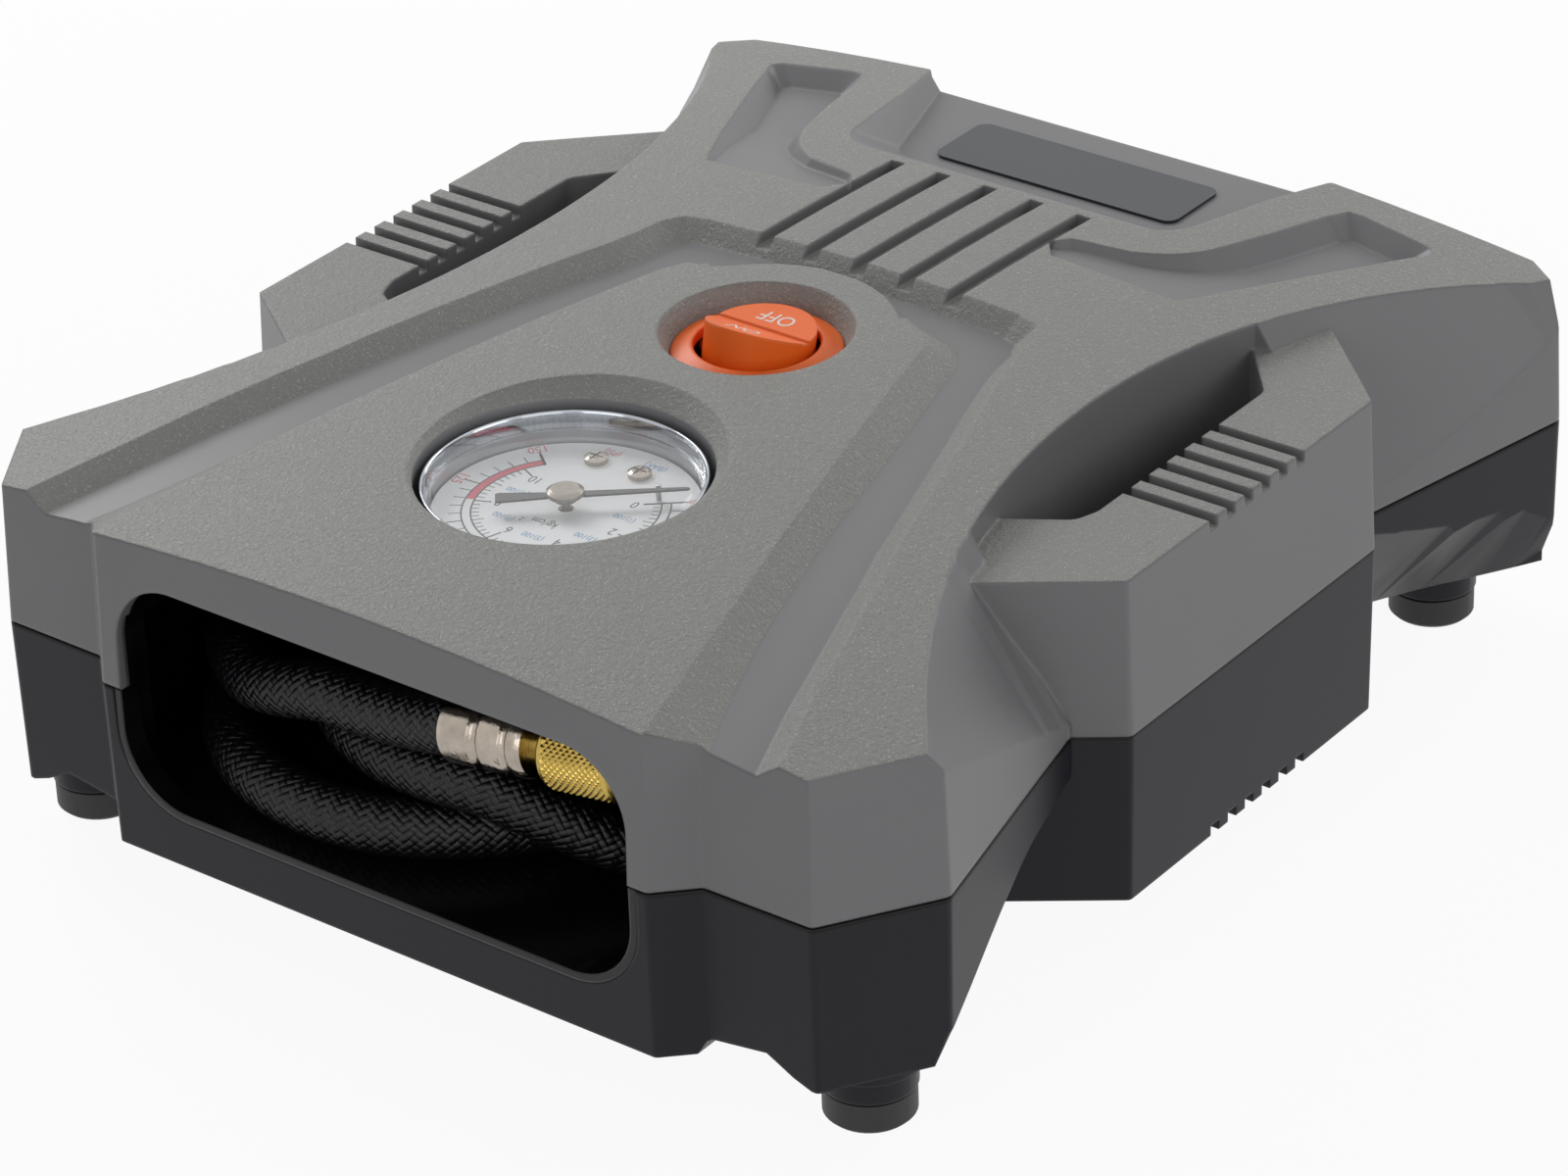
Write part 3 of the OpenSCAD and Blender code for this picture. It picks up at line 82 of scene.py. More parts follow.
def linear(code):
    """sRGB hex colour as linear red, green, blue and alpha."""
    parts = [int(code[i:i + 2], 16) / 255 for i in (1, 3, 5)]
    return tuple(c / 12.92 if c <= 0.04045 else ((c + 0.055) / 1.055) ** 2.4
                 for c in parts) + (1.0,)


def add(tree, kind, inputs=None, **settings):
    """One node with its settings, its values and its links."""
    made = tree.nodes.new(kind)
    for key, value in settings.items():
        setattr(made, key, value)
    for key, value in (inputs or {}).items():
        if isinstance(value, bpy.types.NodeSocket):
            tree.links.new(value, made.inputs[key])
        else:
            made.inputs[key].default_value = value
    return made


def surface(name, **values):
    """Material with one Principled shader whose plain values are set on its sockets."""
    made = bpy.data.materials.new(name)
    made.use_nodes = True
    shader = made.node_tree.nodes["Principled BSDF"]
    for key, value in values.items():
        shader.inputs[key.replace("_", " ").title().replace("Ior", "IOR")].default_value = value
    return made, made.node_tree, shader


def per_mm(size):
    """Scale of a texture whose grain is that many millimetres wide."""
    return 1 / (size * MM)


def drift(tree, place, light, dark, size):
    """Soft drift between two shades over that many millimetres."""
    cloud = add(tree, "ShaderNodeTexNoise",
                {"Vector": place, "Scale": per_mm(size), "Detail": 3.0})
    mix = add(tree, "ShaderNodeMix",
              {0: cloud.outputs["Fac"], 6: linear(dark), 7: linear(light)}, data_type="RGBA")
    return mix.outputs[2]


def rough_skin(tree, shader, height, depth, edge=0.5):
    """Relief of a surface, depth millimetres deep, over edges rounded by edge millimetres."""
    rounded = add(tree, "ShaderNodeBevel", {"Radius": edge * MM}, samples=8)
    bump = add(tree, "ShaderNodeBump", {"Height": height, "Strength": 1.0, "Distance": depth * MM,
                                        "Normal": rounded.outputs["Normal"]})
    tree.links.new(bump.outputs["Normal"], shader.inputs["Normal"])


# round of the edges on the two halves of the case, and half height of the dark seam
LID_EDGE = 1.1
BASE_EDGE = 0.8
SEAM = 0.7


def grained_abs():
    """ABS moulded in a spark-eroded tool: matte, with a grain 0.9 mm wide. Single crests of
    the grain shine, which is drawn as pale specks, 0.4 mm wide so that they show."""
    made, tree, shader = surface("grained_abs", roughness=0.5, ior=1.5)
    place = add(tree, "ShaderNodeTexCoord").outputs["Object"]
    shade = drift(tree, place, "#868682", "#7e7e7b", 1.4)
    crest = add(tree, "ShaderNodeTexNoise",
                {"Vector": place, "Scale": per_mm(0.42), "Detail": 1.0, "Roughness": 0.4})
    speck = add(tree, "ShaderNodeMapRange", {"Value": crest.outputs["Fac"], "From Min": 0.6,
                                             "From Max": 0.74, "To Min": 0.0, "To Max": 0.55})
    mix = add(tree, "ShaderNodeMix", {0: speck.outputs["Result"], 6: shade,
                                      7: linear("#b9b7ae")}, data_type="RGBA")
    tree.links.new(mix.outputs[2], shader.inputs["Base Color"])
    rumple = add(tree, "ShaderNodeTexNoise",
                 {"Vector": place, "Scale": per_mm(0.9), "Detail": 3.0, "Roughness": 0.62,
                  "Distortion": 0.5})
    rough_skin(tree, shader, rumple.outputs["Fac"], 0.34, LID_EDGE)
    return made


def smooth_abs():
    """The same grey ABS from a finely stoned tool: satin, with long soft reflections."""
    made, tree, shader = surface("smooth_abs", roughness=0.4, ior=1.5, specular_ior_level=0.34)
    place = add(tree, "ShaderNodeTexCoord").outputs["Object"]
    tree.links.new(drift(tree, place, "#7c7c7d", "#78787a", 25), shader.inputs["Base Color"])
    flow = add(tree, "ShaderNodeTexNoise",
               {"Vector": place, "Scale": per_mm(0.5), "Detail": 2.0})
    rough_skin(tree, shader, flow.outputs["Fac"], 0.01, LID_EDGE)
    return made


def satin_black_abs():
    """Black ABS of the lower half: satin, faintly blue, and black in the seam under the lid."""
    made, tree, shader = surface("satin_black_abs", roughness=0.38, ior=1.5,
                                 specular_ior_level=0.22)
    place = add(tree, "ShaderNodeTexCoord").outputs["Object"]
    height = add(tree, "ShaderNodeSeparateXYZ", {"Vector": place}).outputs["Z"]
    seam = add(tree, "ShaderNodeMath", {0: height, 1: CASE_ORIGIN.z * MM, 2: SEAM * MM},
               operation="COMPARE")
    shade = add(tree, "ShaderNodeMix",
                {0: seam.outputs[0], 6: drift(tree, place, "#1e1e25", "#1a1a20", 30),
                 7: linear("#020202")}, data_type="RGBA")
    tree.links.new(shade.outputs[2], shader.inputs["Base Color"])
    flow = add(tree, "ShaderNodeTexNoise",
               {"Vector": place, "Scale": per_mm(0.6), "Detail": 2.0})
    rough_skin(tree, shader, flow.outputs["Fac"], 0.012, BASE_EDGE)
    return made


def gloss_black_abs():
    """Black ABS from a polished tool: deep and glossy, as on the hose tray."""
    made, tree, shader = surface("gloss_black_abs", roughness=0.16, ior=1.5,
                                 specular_ior_level=0.35)
    place = add(tree, "ShaderNodeTexCoord").outputs["Object"]
    tree.links.new(drift(tree, place, "#0f0f11", "#0b0b0d", 20), shader.inputs["Base Color"])
    flow = add(tree, "ShaderNodeTexNoise", {"Vector": place, "Scale": per_mm(6), "Detail": 1.0})
    rough_skin(tree, shader, flow.outputs["Fac"], 0.02, 0.6)
    return made


def orange_nylon():
    """Orange nylon of the switch: satin gloss, slightly translucent at its edges."""
    made, tree, shader = surface("orange_nylon", roughness=0.4, ior=1.53, specular_ior_level=0.3,
                                 subsurface_weight=0.1, subsurface_scale=1.2 * MM)
    place = add(tree, "ShaderNodeTexCoord").outputs["Object"]
    tree.links.new(drift(tree, place, "#ff7522", "#fa6a18", 6), shader.inputs["Base Color"])
    speck = add(tree, "ShaderNodeTexNoise", {"Vector": place, "Scale": per_mm(0.7), "Detail": 2.0})
    rough_skin(tree, shader, speck.outputs["Fac"], 0.02, 0.8)
    return made


def moulded_rubber():
    """Black rubber of feet and grommet: dull, with a faint bloom."""
    made, tree, shader = surface("moulded_rubber", roughness=0.55, ior=1.52)
    place = add(tree, "ShaderNodeTexCoord").outputs["Object"]
    tree.links.new(drift(tree, place, "#1b1b1c", "#131314", 4), shader.inputs["Base Color"])
    grit = add(tree, "ShaderNodeTexNoise", {"Vector": place, "Scale": per_mm(0.4), "Detail": 2.0})
    rough_skin(tree, shader, grit.outputs["Fac"], 0.03, 0.5)
    return made


def metal(name, light, dark, roughness, size, grit=0.01, edge=0.15):
    """Bare or plated metal: a drift of shade and a fine unevenness in its shine."""
    made, tree, shader = surface(name, metallic=1.0)
    place = add(tree, "ShaderNodeTexCoord").outputs["Object"]
    tree.links.new(drift(tree, place, light, dark, size), shader.inputs["Base Color"])
    smear = add(tree, "ShaderNodeTexNoise",
                {"Vector": place, "Scale": per_mm(size / 3), "Detail": 4.0})
    spread = add(tree, "ShaderNodeMapRange",
                 {"Value": smear.outputs["Fac"], "To Min": roughness * 0.8,
                  "To Max": roughness * 1.3})
    tree.links.new(spread.outputs["Result"], shader.inputs["Roughness"])
    rough_skin(tree, shader, smear.outputs["Fac"], grit, edge)
    return made


def coat(name, light, dark, roughness, size=3.0, **values):
    """Lacquer, print, foil or moulded nylon: one colour with a faint drift."""
    made, tree, shader = surface(name, roughness=roughness, **values)
    place = add(tree, "ShaderNodeTexCoord").outputs["Object"]
    tree.links.new(drift(tree, place, light, dark, size), shader.inputs["Base Color"])
    return made


def clear_window():
    """Clear polystyrene gauge window: see-through, and a mirror only where it is seen at a
    low angle, which follows the fifth power of the angle as on any clear plastic."""
    made, tree, shader = surface("clear_window", metallic=1.0, alpha=0.08)
    shader.inputs["Base Color"].default_value = linear("#fdfdfd")
    place = add(tree, "ShaderNodeTexCoord").outputs["Object"]
    haze = add(tree, "ShaderNodeTexNoise", {"Vector": place, "Scale": per_mm(8), "Detail": 2.0})
    spread = add(tree, "ShaderNodeMapRange",
                 {"Value": haze.outputs["Fac"], "To Min": 0.01, "To Max": 0.05})
    tree.links.new(spread.outputs["Result"], shader.inputs["Roughness"])
    low = add(tree, "ShaderNodeLayerWeight", {"Blend": 0.5})
    steep = add(tree, "ShaderNodeMath", {0: low.outputs["Facing"], 1: 5.0}, operation="POWER")
    mirrored = add(tree, "ShaderNodeMath", {0: steep.outputs[0], 1: 0.96, 2: 0.04},
                   operation="MULTIPLY_ADD")
    tree.links.new(mirrored.outputs[0], shader.inputs["Alpha"])
    return made


HOSE_D = 10.9
YARNS = 18  # of each set, counted once round the hose


def braided_cotton():
    """Black textile braid over the hose: two sets of glossy yarns cross at 45 degrees, and
    each lies over two of the others and then under two, so that every float catches the
    light as a small bead. The piece's own UV holds yarn counts round the hose and along it."""
    made, tree, shader = surface("braided_cotton", ior=1.5, specular_ior_level=0.3)
    uv = add(tree, "ShaderNodeUVMap", uv_map="yarns").outputs["UV"]
    counts = add(tree, "ShaderNodeSeparateXYZ", {"Vector": uv})
    right = add(tree, "ShaderNodeMath", {0: counts.outputs["X"], 1: counts.outputs["Y"]},
                operation="ADD").outputs[0]
    left = add(tree, "ShaderNodeMath", {0: counts.outputs["X"], 1: counts.outputs["Y"]},
               operation="SUBTRACT").outputs[0]
    # which yarn of each set lies here, and how far across it
    yarns, rounds = [], []
    for count in (right, left):
        yarns.append(add(tree, "ShaderNodeMath", {0: count}, operation="FLOOR").outputs[0])
        across = add(tree, "ShaderNodeMath", {0: count}, operation="FRACT")
        half_turn = add(tree, "ShaderNodeMath", {0: across.outputs[0], 1: math.pi},
                        operation="MULTIPLY")
        rounds.append(add(tree, "ShaderNodeMath", {0: half_turn.outputs[0]},
                          operation="SINE").outputs[0])
    # over two, then under two
    step = add(tree, "ShaderNodeMath", {0: yarns[0], 1: yarns[1]}, operation="SUBTRACT")
    weave = add(tree, "ShaderNodeMath", {0: step.outputs[0], 1: 4.0},
                operation="FLOORED_MODULO")
    over = add(tree, "ShaderNodeMath", {0: weave.outputs[0], 1: 1.5},
               operation="LESS_THAN").outputs[0]
    top = add(tree, "ShaderNodeMix", {0: over, 2: rounds[1], 3: rounds[0]}, data_type="FLOAT")
    low = add(tree, "ShaderNodeMix", {0: over, 2: rounds[0], 3: rounds[1]}, data_type="FLOAT")
    # a float is highest at its middle, where it crosses the gap between two yarns
    along = add(tree, "ShaderNodeMath", {0: yarns[0], 1: left}, operation="SUBTRACT")
    quarter = add(tree, "ShaderNodeMath", {0: along.outputs[0], 1: 0.25}, operation="MULTIPLY")
    share = add(tree, "ShaderNodeMath", {0: quarter.outputs[0]}, operation="FRACT")
    turn = add(tree, "ShaderNodeMath", {0: share.outputs[0], 1: math.tau}, operation="MULTIPLY")
    swell = add(tree, "ShaderNodeMath", {0: turn.outputs[0]}, operation="SINE")
    bead = add(tree, "ShaderNodeMath", {0: swell.outputs[0]}, operation="ABSOLUTE")
    # upper yarn, lower yarn and bead, added up
    full = add(tree, "ShaderNodeMath", {0: top.outputs[0], 1: 0.6}, operation="POWER")
    both = add(tree, "ShaderNodeMath", {0: low.outputs[0], 1: 0.3, 2: full.outputs[0]},
               operation="MULTIPLY_ADD")
    height = add(tree, "ShaderNodeMath", {0: bead.outputs[0], 1: 0.35, 2: both.outputs[0]},
                 operation="MULTIPLY_ADD").outputs[0]
    fine = add(tree, "ShaderNodeTexNoise",
               {"Vector": uv, "Scale": 9.0, "Detail": 2.0, "Roughness": 0.7})
    relief = add(tree, "ShaderNodeMath", {0: fine.outputs["Fac"], 1: 0.25, 2: height},
                 operation="MULTIPLY_ADD").outputs[0]
    # painted shade and light on the weave: the colour grows paler with the height of the relief,
    # darker in the hollows between the yarns and paler on the crests and beads of the floats
    painted_crest_light = add(tree, "ShaderNodeMath", {0: height, 1: 0.6}, operation="MULTIPLY")
    shade = add(tree, "ShaderNodeMix",
                {0: painted_crest_light.outputs[0], 6: linear("#020203"), 7: linear("#101115")},
                data_type="RGBA")
    tree.links.new(shade.outputs[2], shader.inputs["Base Color"])
    shine = add(tree, "ShaderNodeMapRange",
                {"Value": fine.outputs["Fac"], "To Min": 0.18, "To Max": 0.32})
    tree.links.new(shine.outputs["Result"], shader.inputs["Roughness"])
    bump = add(tree, "ShaderNodeBump",
               {"Height": relief, "Strength": 1.0, "Distance": 0.24 * MM})
    tree.links.new(bump.outputs["Normal"], shader.inputs["Normal"])
    return made


look = {
    "grained": grained_abs(),
    "smooth": smooth_abs(),
    "black": satin_black_abs(),
    "gloss": gloss_black_abs(),
    "orange": orange_nylon(),
    "rubber": moulded_rubber(),
    "braid": braided_cotton(),
    "window": clear_window(),
    # polished plating on the bezel mirrors the lamps in hard bands
    "chrome": metal("chrome_plate", "#b4b8be", "#a6aab0", 0.08, 6, 0.004),
    # nickel plating is warmer than chrome and wavy from the crimping
    "nickel": metal("nickel_plate", "#c2b8ac", "#8c8277", 0.16, 3, 0.09),
    # turned brass, bright and yellow on its cut edges
    "brass": metal("turned_brass", "#cfb566", "#a88b3e", 0.24, 2, 0.02),
    # zinc plating: pale, cool and even
    "zinc": metal("zinc_plated_steel", "#c4c6ca", "#a9abb0", 0.3, 2, 0.02),
    # drawn steel sheet and bar: grey, with a soft shine
    "steel": metal("drawn_steel", "#b9bbbe", "#9c9ea2", 0.32, 12, 0.02),
    # cast aluminium: dull and rough from the mould
    "cast": metal("cast_aluminium", "#b5b6b8", "#97989b", 0.48, 4, 0.12),
    # steel of the needle hub, a darker and warmer grey than the drawn steel
    "hub": metal("hub_steel", "#9a938a", "#6f695f", 0.3, 1.5, 0.02),
    # baked lacquer on the needle and on the dial, even and faintly glossy
    "needle": coat("needle_lacquer", "#2a2c2f", "#222427", 0.35),
    "dial": coat("dial_lacquer", "#fbfcfd", "#f6f8f9", 0.45, 12),
    # screen-printed ink, thin and matte
    "ink_black": coat("black_print", "#2e3033", "#26282b", 0.5),
    "ink_red": coat("red_print", "#e0566a", "#d84c60", 0.5),
    "ink_blue": coat("blue_print", "#6a9ccc", "#5f93c6", 0.5),
    "ink_white": coat("white_print", "#f2eee8", "#e8e4de", 0.5),
    # satin black foil with a blue cast, lacquered
    "plate": coat("satin_black_foil", "#2c2f37", "#282b33", 0.3, 15),
    # moulded nylon, waxy; filled PTFE of the piston cup, dull brown; soft plastic line
    "nylon": coat("natural_nylon", "#dcd8ca", "#cfcabb", 0.45, 6),
    "black_nylon": coat("black_nylon", "#1c1c1e", "#161618", 0.5, 6),
    "ptfe": coat("filled_ptfe", "#5a4c40", "#4c4036", 0.6, 4),
    "line": coat("soft_line", "#2a2a2a", "#222222", 0.4, 6),
}


# ---------- making pieces ----------

def finish_piece(piece, body, slot, *nodes):
    """Hang the piece under its body, and hide the CAD nodes that it stands for. The slot is not
    used.
    """
    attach(piece, body)
    if nodes:
        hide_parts(*nodes)
    return piece


def activate(piece):
    bpy.ops.object.select_all(action="DESELECT")
    piece.select_set(True)
    bpy.context.view_layer.objects.active = piece


SAME_POINT = 0.005
LEVEL = math.radians(0.4)


def merged_copy(node, name, *materials):
    """The CAD node's own solid as a new piece, with its loose triangles merged."""
    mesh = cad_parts[node].data.copy()
    mesh.materials.clear()
    for made in materials:
        mesh.materials.append(made)
    piece = bpy.data.objects.new(name, mesh)
    bpy.context.scene.collection.objects.link(piece)
    work = bmesh.new()
    work.from_mesh(mesh)
    bmesh.ops.remove_doubles(work, verts=work.verts, dist=SAME_POINT * MM)
    bmesh.ops.dissolve_degenerate(work, edges=work.edges, dist=2 * SAME_POINT * MM)
    bmesh.ops.dissolve_limit(work, angle_limit=LEVEL, verts=work.verts, edges=work.edges)
    for face in work.faces:
        face.material_index = 0
    work.to_mesh(mesh)
    work.free()
    return piece


def smooth_shell(piece, angle=12):
    """Even shading over faces that lie nearly level with one another. Each corner takes the
    mean of those faces round its point that lean less than the angle from its own, so that
    a sliver between two forms carries no shade across."""
    mesh = piece.data
    around = [[] for _ in mesh.vertices]
    for face in mesh.polygons:
        face.use_smooth = True
        for index in face.vertices:
            around[index].append((face.normal.copy(), face.area))
    level = math.cos(math.radians(angle))
    shading = []
    for face in mesh.polygons:
        for index in face.vertices:
            total = Vector()
            for normal, area in around[index]:
                if normal.dot(face.normal) > level:
                    total += normal * area
            shading.append(total.normalized() if total.length else Vector((0, 0, 1)))
    mesh.normals_split_custom_set(shading)
    return piece


def turned(name, profile, sides, made):
    """Piece spun round Z from rows of radius and height in millimetres: one point is drawn
    out along the profile and the line is then spun."""
    bpy.ops.object.select_all(action="DESELECT")
    bpy.ops.mesh.primitive_plane_add(size=MM)
    piece = bpy.context.object
    piece.name = piece.data.name = name
    bpy.ops.object.mode_set(mode="EDIT")
    bpy.ops.mesh.select_mode(type="VERT")
    bpy.ops.mesh.select_all(action="SELECT")
    bpy.ops.mesh.merge(type="CENTER")
    r, z = profile[0]
    bpy.ops.transform.translate(value=(r * MM, 0, z * MM))
    for next_r, next_z in profile[1:]:
        bpy.ops.mesh.extrude_region_move(
            TRANSFORM_OT_translate={"value": ((next_r - r) * MM, 0, (next_z - z) * MM)})
        r, z = next_r, next_z
    bpy.ops.mesh.select_all(action="SELECT")
    bpy.ops.mesh.spin(steps=sides, angle=math.tau, center=(0, 0, 0), axis=(0, 0, 1))
    bpy.ops.mesh.select_all(action="SELECT")
    bpy.ops.mesh.remove_doubles(threshold=0.002 * MM)
    bpy.ops.mesh.normals_make_consistent(inside=False)
    bpy.ops.object.mode_set(mode="OBJECT")
    piece.data.materials.append(made)
    return piece


def smooth_up_to(piece, angle):
    """Smooth shading across edges that turn less than that many degrees."""
    activate(piece)
    bpy.ops.object.shade_smooth_by_angle(angle=math.radians(angle))


# ---------- hose ----------

# the hose starts at a ferrule on the fitting's face, and its free end lies in the bay
FERRULE_LEN = 18.5
FITTING_FACE = -16.0
HOSE_START = Vector((-52, FITTING_FACE - FERRULE_LEN, -14.6))
FERRULE_AT = Vector((10.4, -113.8, 8.9))
END_TILT = math.radians(8)
# plan of the coil by turn angle in degrees: angle, centre x, centre y, radius
COIL_PLAN = ((180, -21, -74.5, 44), (300, -21, -74.5, 44), (450, -10, -72.5, 43.5),
             (545, 0, -73, 43.5), (600, 0, -71.5, 40.3), (640, 2, -73, 38.2),
             (705, 11, -71, 41.5), (765, 9, -70, 48), (900, -21, -74.5, 44),
             (990, -21, -74.5, 39.3))
# height of the coil by turn angle
COIL_RISE = ((180, -16), (520, -16), (600, -5.8), (640, -4.3), (690, -15.8), (735, -16),
             (790, -3.4), (900, -3.4), (960, -0.5), (990, 5.4))
# route from the fitting down into the coil, and from the coil up to the free end
LEAD_IN = (tuple(HOSE_START), (-52.2, -41, -14.8), (-55.6, -50, -15.5), (-60.2, -59.5, -16),
           (-63.7, -67.5, -16))
LEAD_OUT = ((-12, -113.8, 5.8), (-4, -113.8, 6.4), (3, -113.8, 7.4), tuple(FERRULE_AT))


def key_value(keys, angle, column):
    """A column's value at a turn angle, eased between the keys."""
    for low, high in zip(keys, keys[1:]):
        if angle <= high[0] or high is keys[-1]:
            t = max(0.0, min(1.0, (angle - low[0]) / (high[0] - low[0])))
            return low[column] + (high[column] - low[column]) * t * t * (3 - 2 * t)


def coil_point(angle):
    radius = key_value(COIL_PLAN, angle, 3)
    turn = math.radians(angle)
    return (key_value(COIL_PLAN, angle, 1) + radius * math.cos(turn),
            key_value(COIL_PLAN, angle, 2) + radius * math.sin(turn),
            key_value(COIL_RISE, angle, 1))


COIL_STEP = 15  # degrees between two route points of the coil
PER_SPAN = 6    # points drawn from one route point to the next
HOSE_SIDES = 48


def hose_line():
    """The hose's centreline, drawn as one smooth curve through its route points."""
    coil = range(COIL_PLAN[0][0], COIL_PLAN[-1][0] + 1, COIL_STEP)
    route = [Vector(p) for p in LEAD_IN + tuple(coil_point(a) for a in coil) + LEAD_OUT]
    before = route[0] - Vector((0, -1, 0)) * (route[1] - route[0]).length
    after = route[-1] + Vector((math.cos(END_TILT), 0, math.sin(END_TILT))) * 7
    keys = [before] + route + [after]
    line = []
    for a, b, c, d in zip(keys, keys[1:], keys[2:], keys[3:]):
        for i in range(PER_SPAN):
            t = i / PER_SPAN
            line.append(0.5 * (2 * b + (c - a) * t + (2 * a - 5 * b + 4 * c - d) * t * t
                               + (3 * b - a - 3 * c + d) * t ** 3))
    return line + [route[-1]]


def make_hose():
    """Tube along the line, with UVs that count yarns round it and along it."""
    line = hose_line()
    around = math.pi * HOSE_D
    spokes = [(math.cos(math.tau * k / HOSE_SIDES), math.sin(math.tau * k / HOSE_SIDES))
              for k in range(HOSE_SIDES)]
    mesh = bpy.data.meshes.new("air_hose")
    work = bmesh.new()
    layer = work.loops.layers.uv.new("yarns")
    rings, runs, run = [], [], 0.0
    for i, point in enumerate(line):
        if i:
            run += (point - line[i - 1]).length
        runs.append(run)
        if i == 0:
            ahead = Vector((0, -1, 0))
        elif i == len(line) - 1:
            ahead = Vector((math.cos(END_TILT), 0, math.sin(END_TILT)))
        else:
            ahead = (line[i + 1] - line[i - 1]).normalized()
        side = ahead.cross(Vector((0, 0, 1))).normalized()
        up = side.cross(ahead)
        middle = point + CASE_ORIGIN
        rings.append([work.verts.new((middle + (side * a + up * b) * HOSE_D / 2) * MM)
                      for a, b in spokes])
    for i in range(len(rings) - 1):
        for k in range(HOSE_SIDES):
            j = (k + 1) % HOSE_SIDES
            face = work.faces.new((rings[i][k], rings[i][j], rings[i + 1][j], rings[i + 1][k]))
            face.smooth = True
            corners = ((k, i), (k + 1, i), (k + 1, i + 1), (k, i + 1))
            for loop, (column, row) in zip(face.loops, corners):
                loop[layer].uv = (column / HOSE_SIDES * YARNS, runs[row] / around * YARNS)
    for ring, flip in ((rings[0], False), (rings[-1], True)):
        work.faces.new(ring if flip else list(reversed(ring)))
    bmesh.ops.recalc_face_normals(work, faces=work.faces)
    work.to_mesh(mesh)
    work.free()
    mesh.materials.append(look["braid"])
    piece = bpy.data.objects.new("air_hose", mesh)
    bpy.context.scene.collection.objects.link(piece)
    finish_piece(piece, "case", "hose_braid", "hose")
    return piece, [(p + CASE_ORIGIN) * MM for p in line], run


air_hose, hose_path, hose_run = make_hose()


# ---------- end fittings of the hose ----------

def hose_end(turn=0.0):
    """Place of a piece turned about Z, set on the hose's free end with Z along it."""
    return (Matrix.Translation((FERRULE_AT + CASE_ORIGIN) * MM)
            @ Matrix.Rotation(-END_TILT, 4, "Y") @ Matrix.Rotation(math.radians(90), 4, "Y")
            @ Matrix.Rotation(turn, 4, "Z"))


def hose_root():
    """Place of a piece set on the hose's end at the fitting, with Z along the hose."""
    return (Matrix.Translation((HOSE_START + CASE_ORIGIN) * MM)
            @ Matrix.Rotation(math.radians(-90), 4, "X"))


# radius and height of the ferrule's outline
FERRULE = ((0, 0), (5.95, 0), (6.2, 0.1), (6.4, 0.32), (6.45, 0.6), (6.45, 6.4), (6.36, 6.75),
           (6.05, 7.05), (5.8, 7.35), (5.7, 7.75), (5.7, 8.25), (5.8, 8.65), (6.05, 8.95),
           (6.34, 9.2), (6.45, 9.55), (6.45, 13.5), (6.36, 13.85), (6.05, 14.15), (5.86, 14.45),
           (5.8, 14.8), (5.86, 15.15), (6.05, 15.45), (6.24, 15.65), (6.3, 15.95),
           (6.3, 17.2), (6.2, 17.6), (5.9, FERRULE_LEN), (0, FERRULE_LEN))
# the wide bands that the dies press, the flats in each and how deep they go
CRIMPS = ((0.8, 6.6), (9.4, 13.8))
CRIMP_FLATS = 8
CRIMP_R = 6.22
BAND_R = 6.48
END_TURN = 0.2  # of the free end's ferrule about the hose
FERRULE_SIDES = 96


def press_crimps(piece):
    """Press eight flats into each wide band, as the crimping dies do."""
    for vertex in piece.data.vertices:
        x, y, z = vertex.co / MM
        radius = math.hypot(x, y)
        if radius < CRIMP_R - 0.3 or not any(low < z < high for low, high in CRIMPS):
            continue
        turn = (math.atan2(y, x) / math.tau * CRIMP_FLATS + 0.5) % 1 - 0.5
        pressed = CRIMP_R / math.cos(turn * math.tau / CRIMP_FLATS)
        if pressed < min(radius, BAND_R):
            vertex.co.x *= pressed / radius
            vertex.co.y *= pressed / radius


def make_ferrules():
    """Crimped sockets at both ends of the hose, modelled once and copied."""
    end = turned("end_ferrule", FERRULE, FERRULE_SIDES, look["nickel"])
    press_crimps(end)
    root = bpy.data.objects.new("root_ferrule", end.data.copy())
    bpy.context.scene.collection.objects.link(root)
    end.data.transform(hose_end(END_TURN))
    root.data.transform(hose_root())
    smooth_up_to(end, 30)
    smooth_up_to(root, 30)
    finish_piece(end, "case", "ferrule_nickel", "hose_ferrule")
    finish_piece(root, "case", "ferrule_nickel")
    return end, root


end_ferrule, root_ferrule = make_ferrules()


# the nut starts past the ferrule; its outline is that of a valve chuck with a stepped bore
NUT_FROM = FERRULE_LEN + 3.7
NUT_LEN = 16.5
CHUCK_R = 7.2
VALVE_R = 3.85
STEM_R = 3.45
SHOULDER_R = 4.8
# the knurl: where it starts and ends, its pitch and depth, the rows and columns of points
# that carry it, and the length over which it fades out
KNURL = (1.9, NUT_LEN - 1.5)
KNURL_PITCH = 1.36
KNURL_DEPTH = 0.42
KNURL_ROWS = 78
KNURL_COLUMNS = 264
KNURL_FADE = 0.3


def roll_knurl(piece):
    """Roll two crossing sets of grooves into the nut, which fade out at both lands."""
    starts = round(math.tau * CHUCK_R / KNURL_PITCH)
    low, high = KNURL
    for vertex in piece.data.vertices:
        x, y, z = vertex.co / MM
        radius = math.hypot(x, y)
        if radius < CHUCK_R - 0.01 or not low - 0.01 < z < high + 0.01:
            continue
        turn = math.atan2(y, x) / math.tau * starts
        run = z / KNURL_PITCH
        groove = 2 * max(abs((turn + run) % 1 - 0.5), abs((turn - run) % 1 - 0.5))
        fade = min(1.0, (z - low) / KNURL_FADE + 0.3, (high - z) / KNURL_FADE + 0.3)
        pressed = CHUCK_R - KNURL_DEPTH * groove * fade
        vertex.co.x *= pressed / radius
        vertex.co.y *= pressed / radius


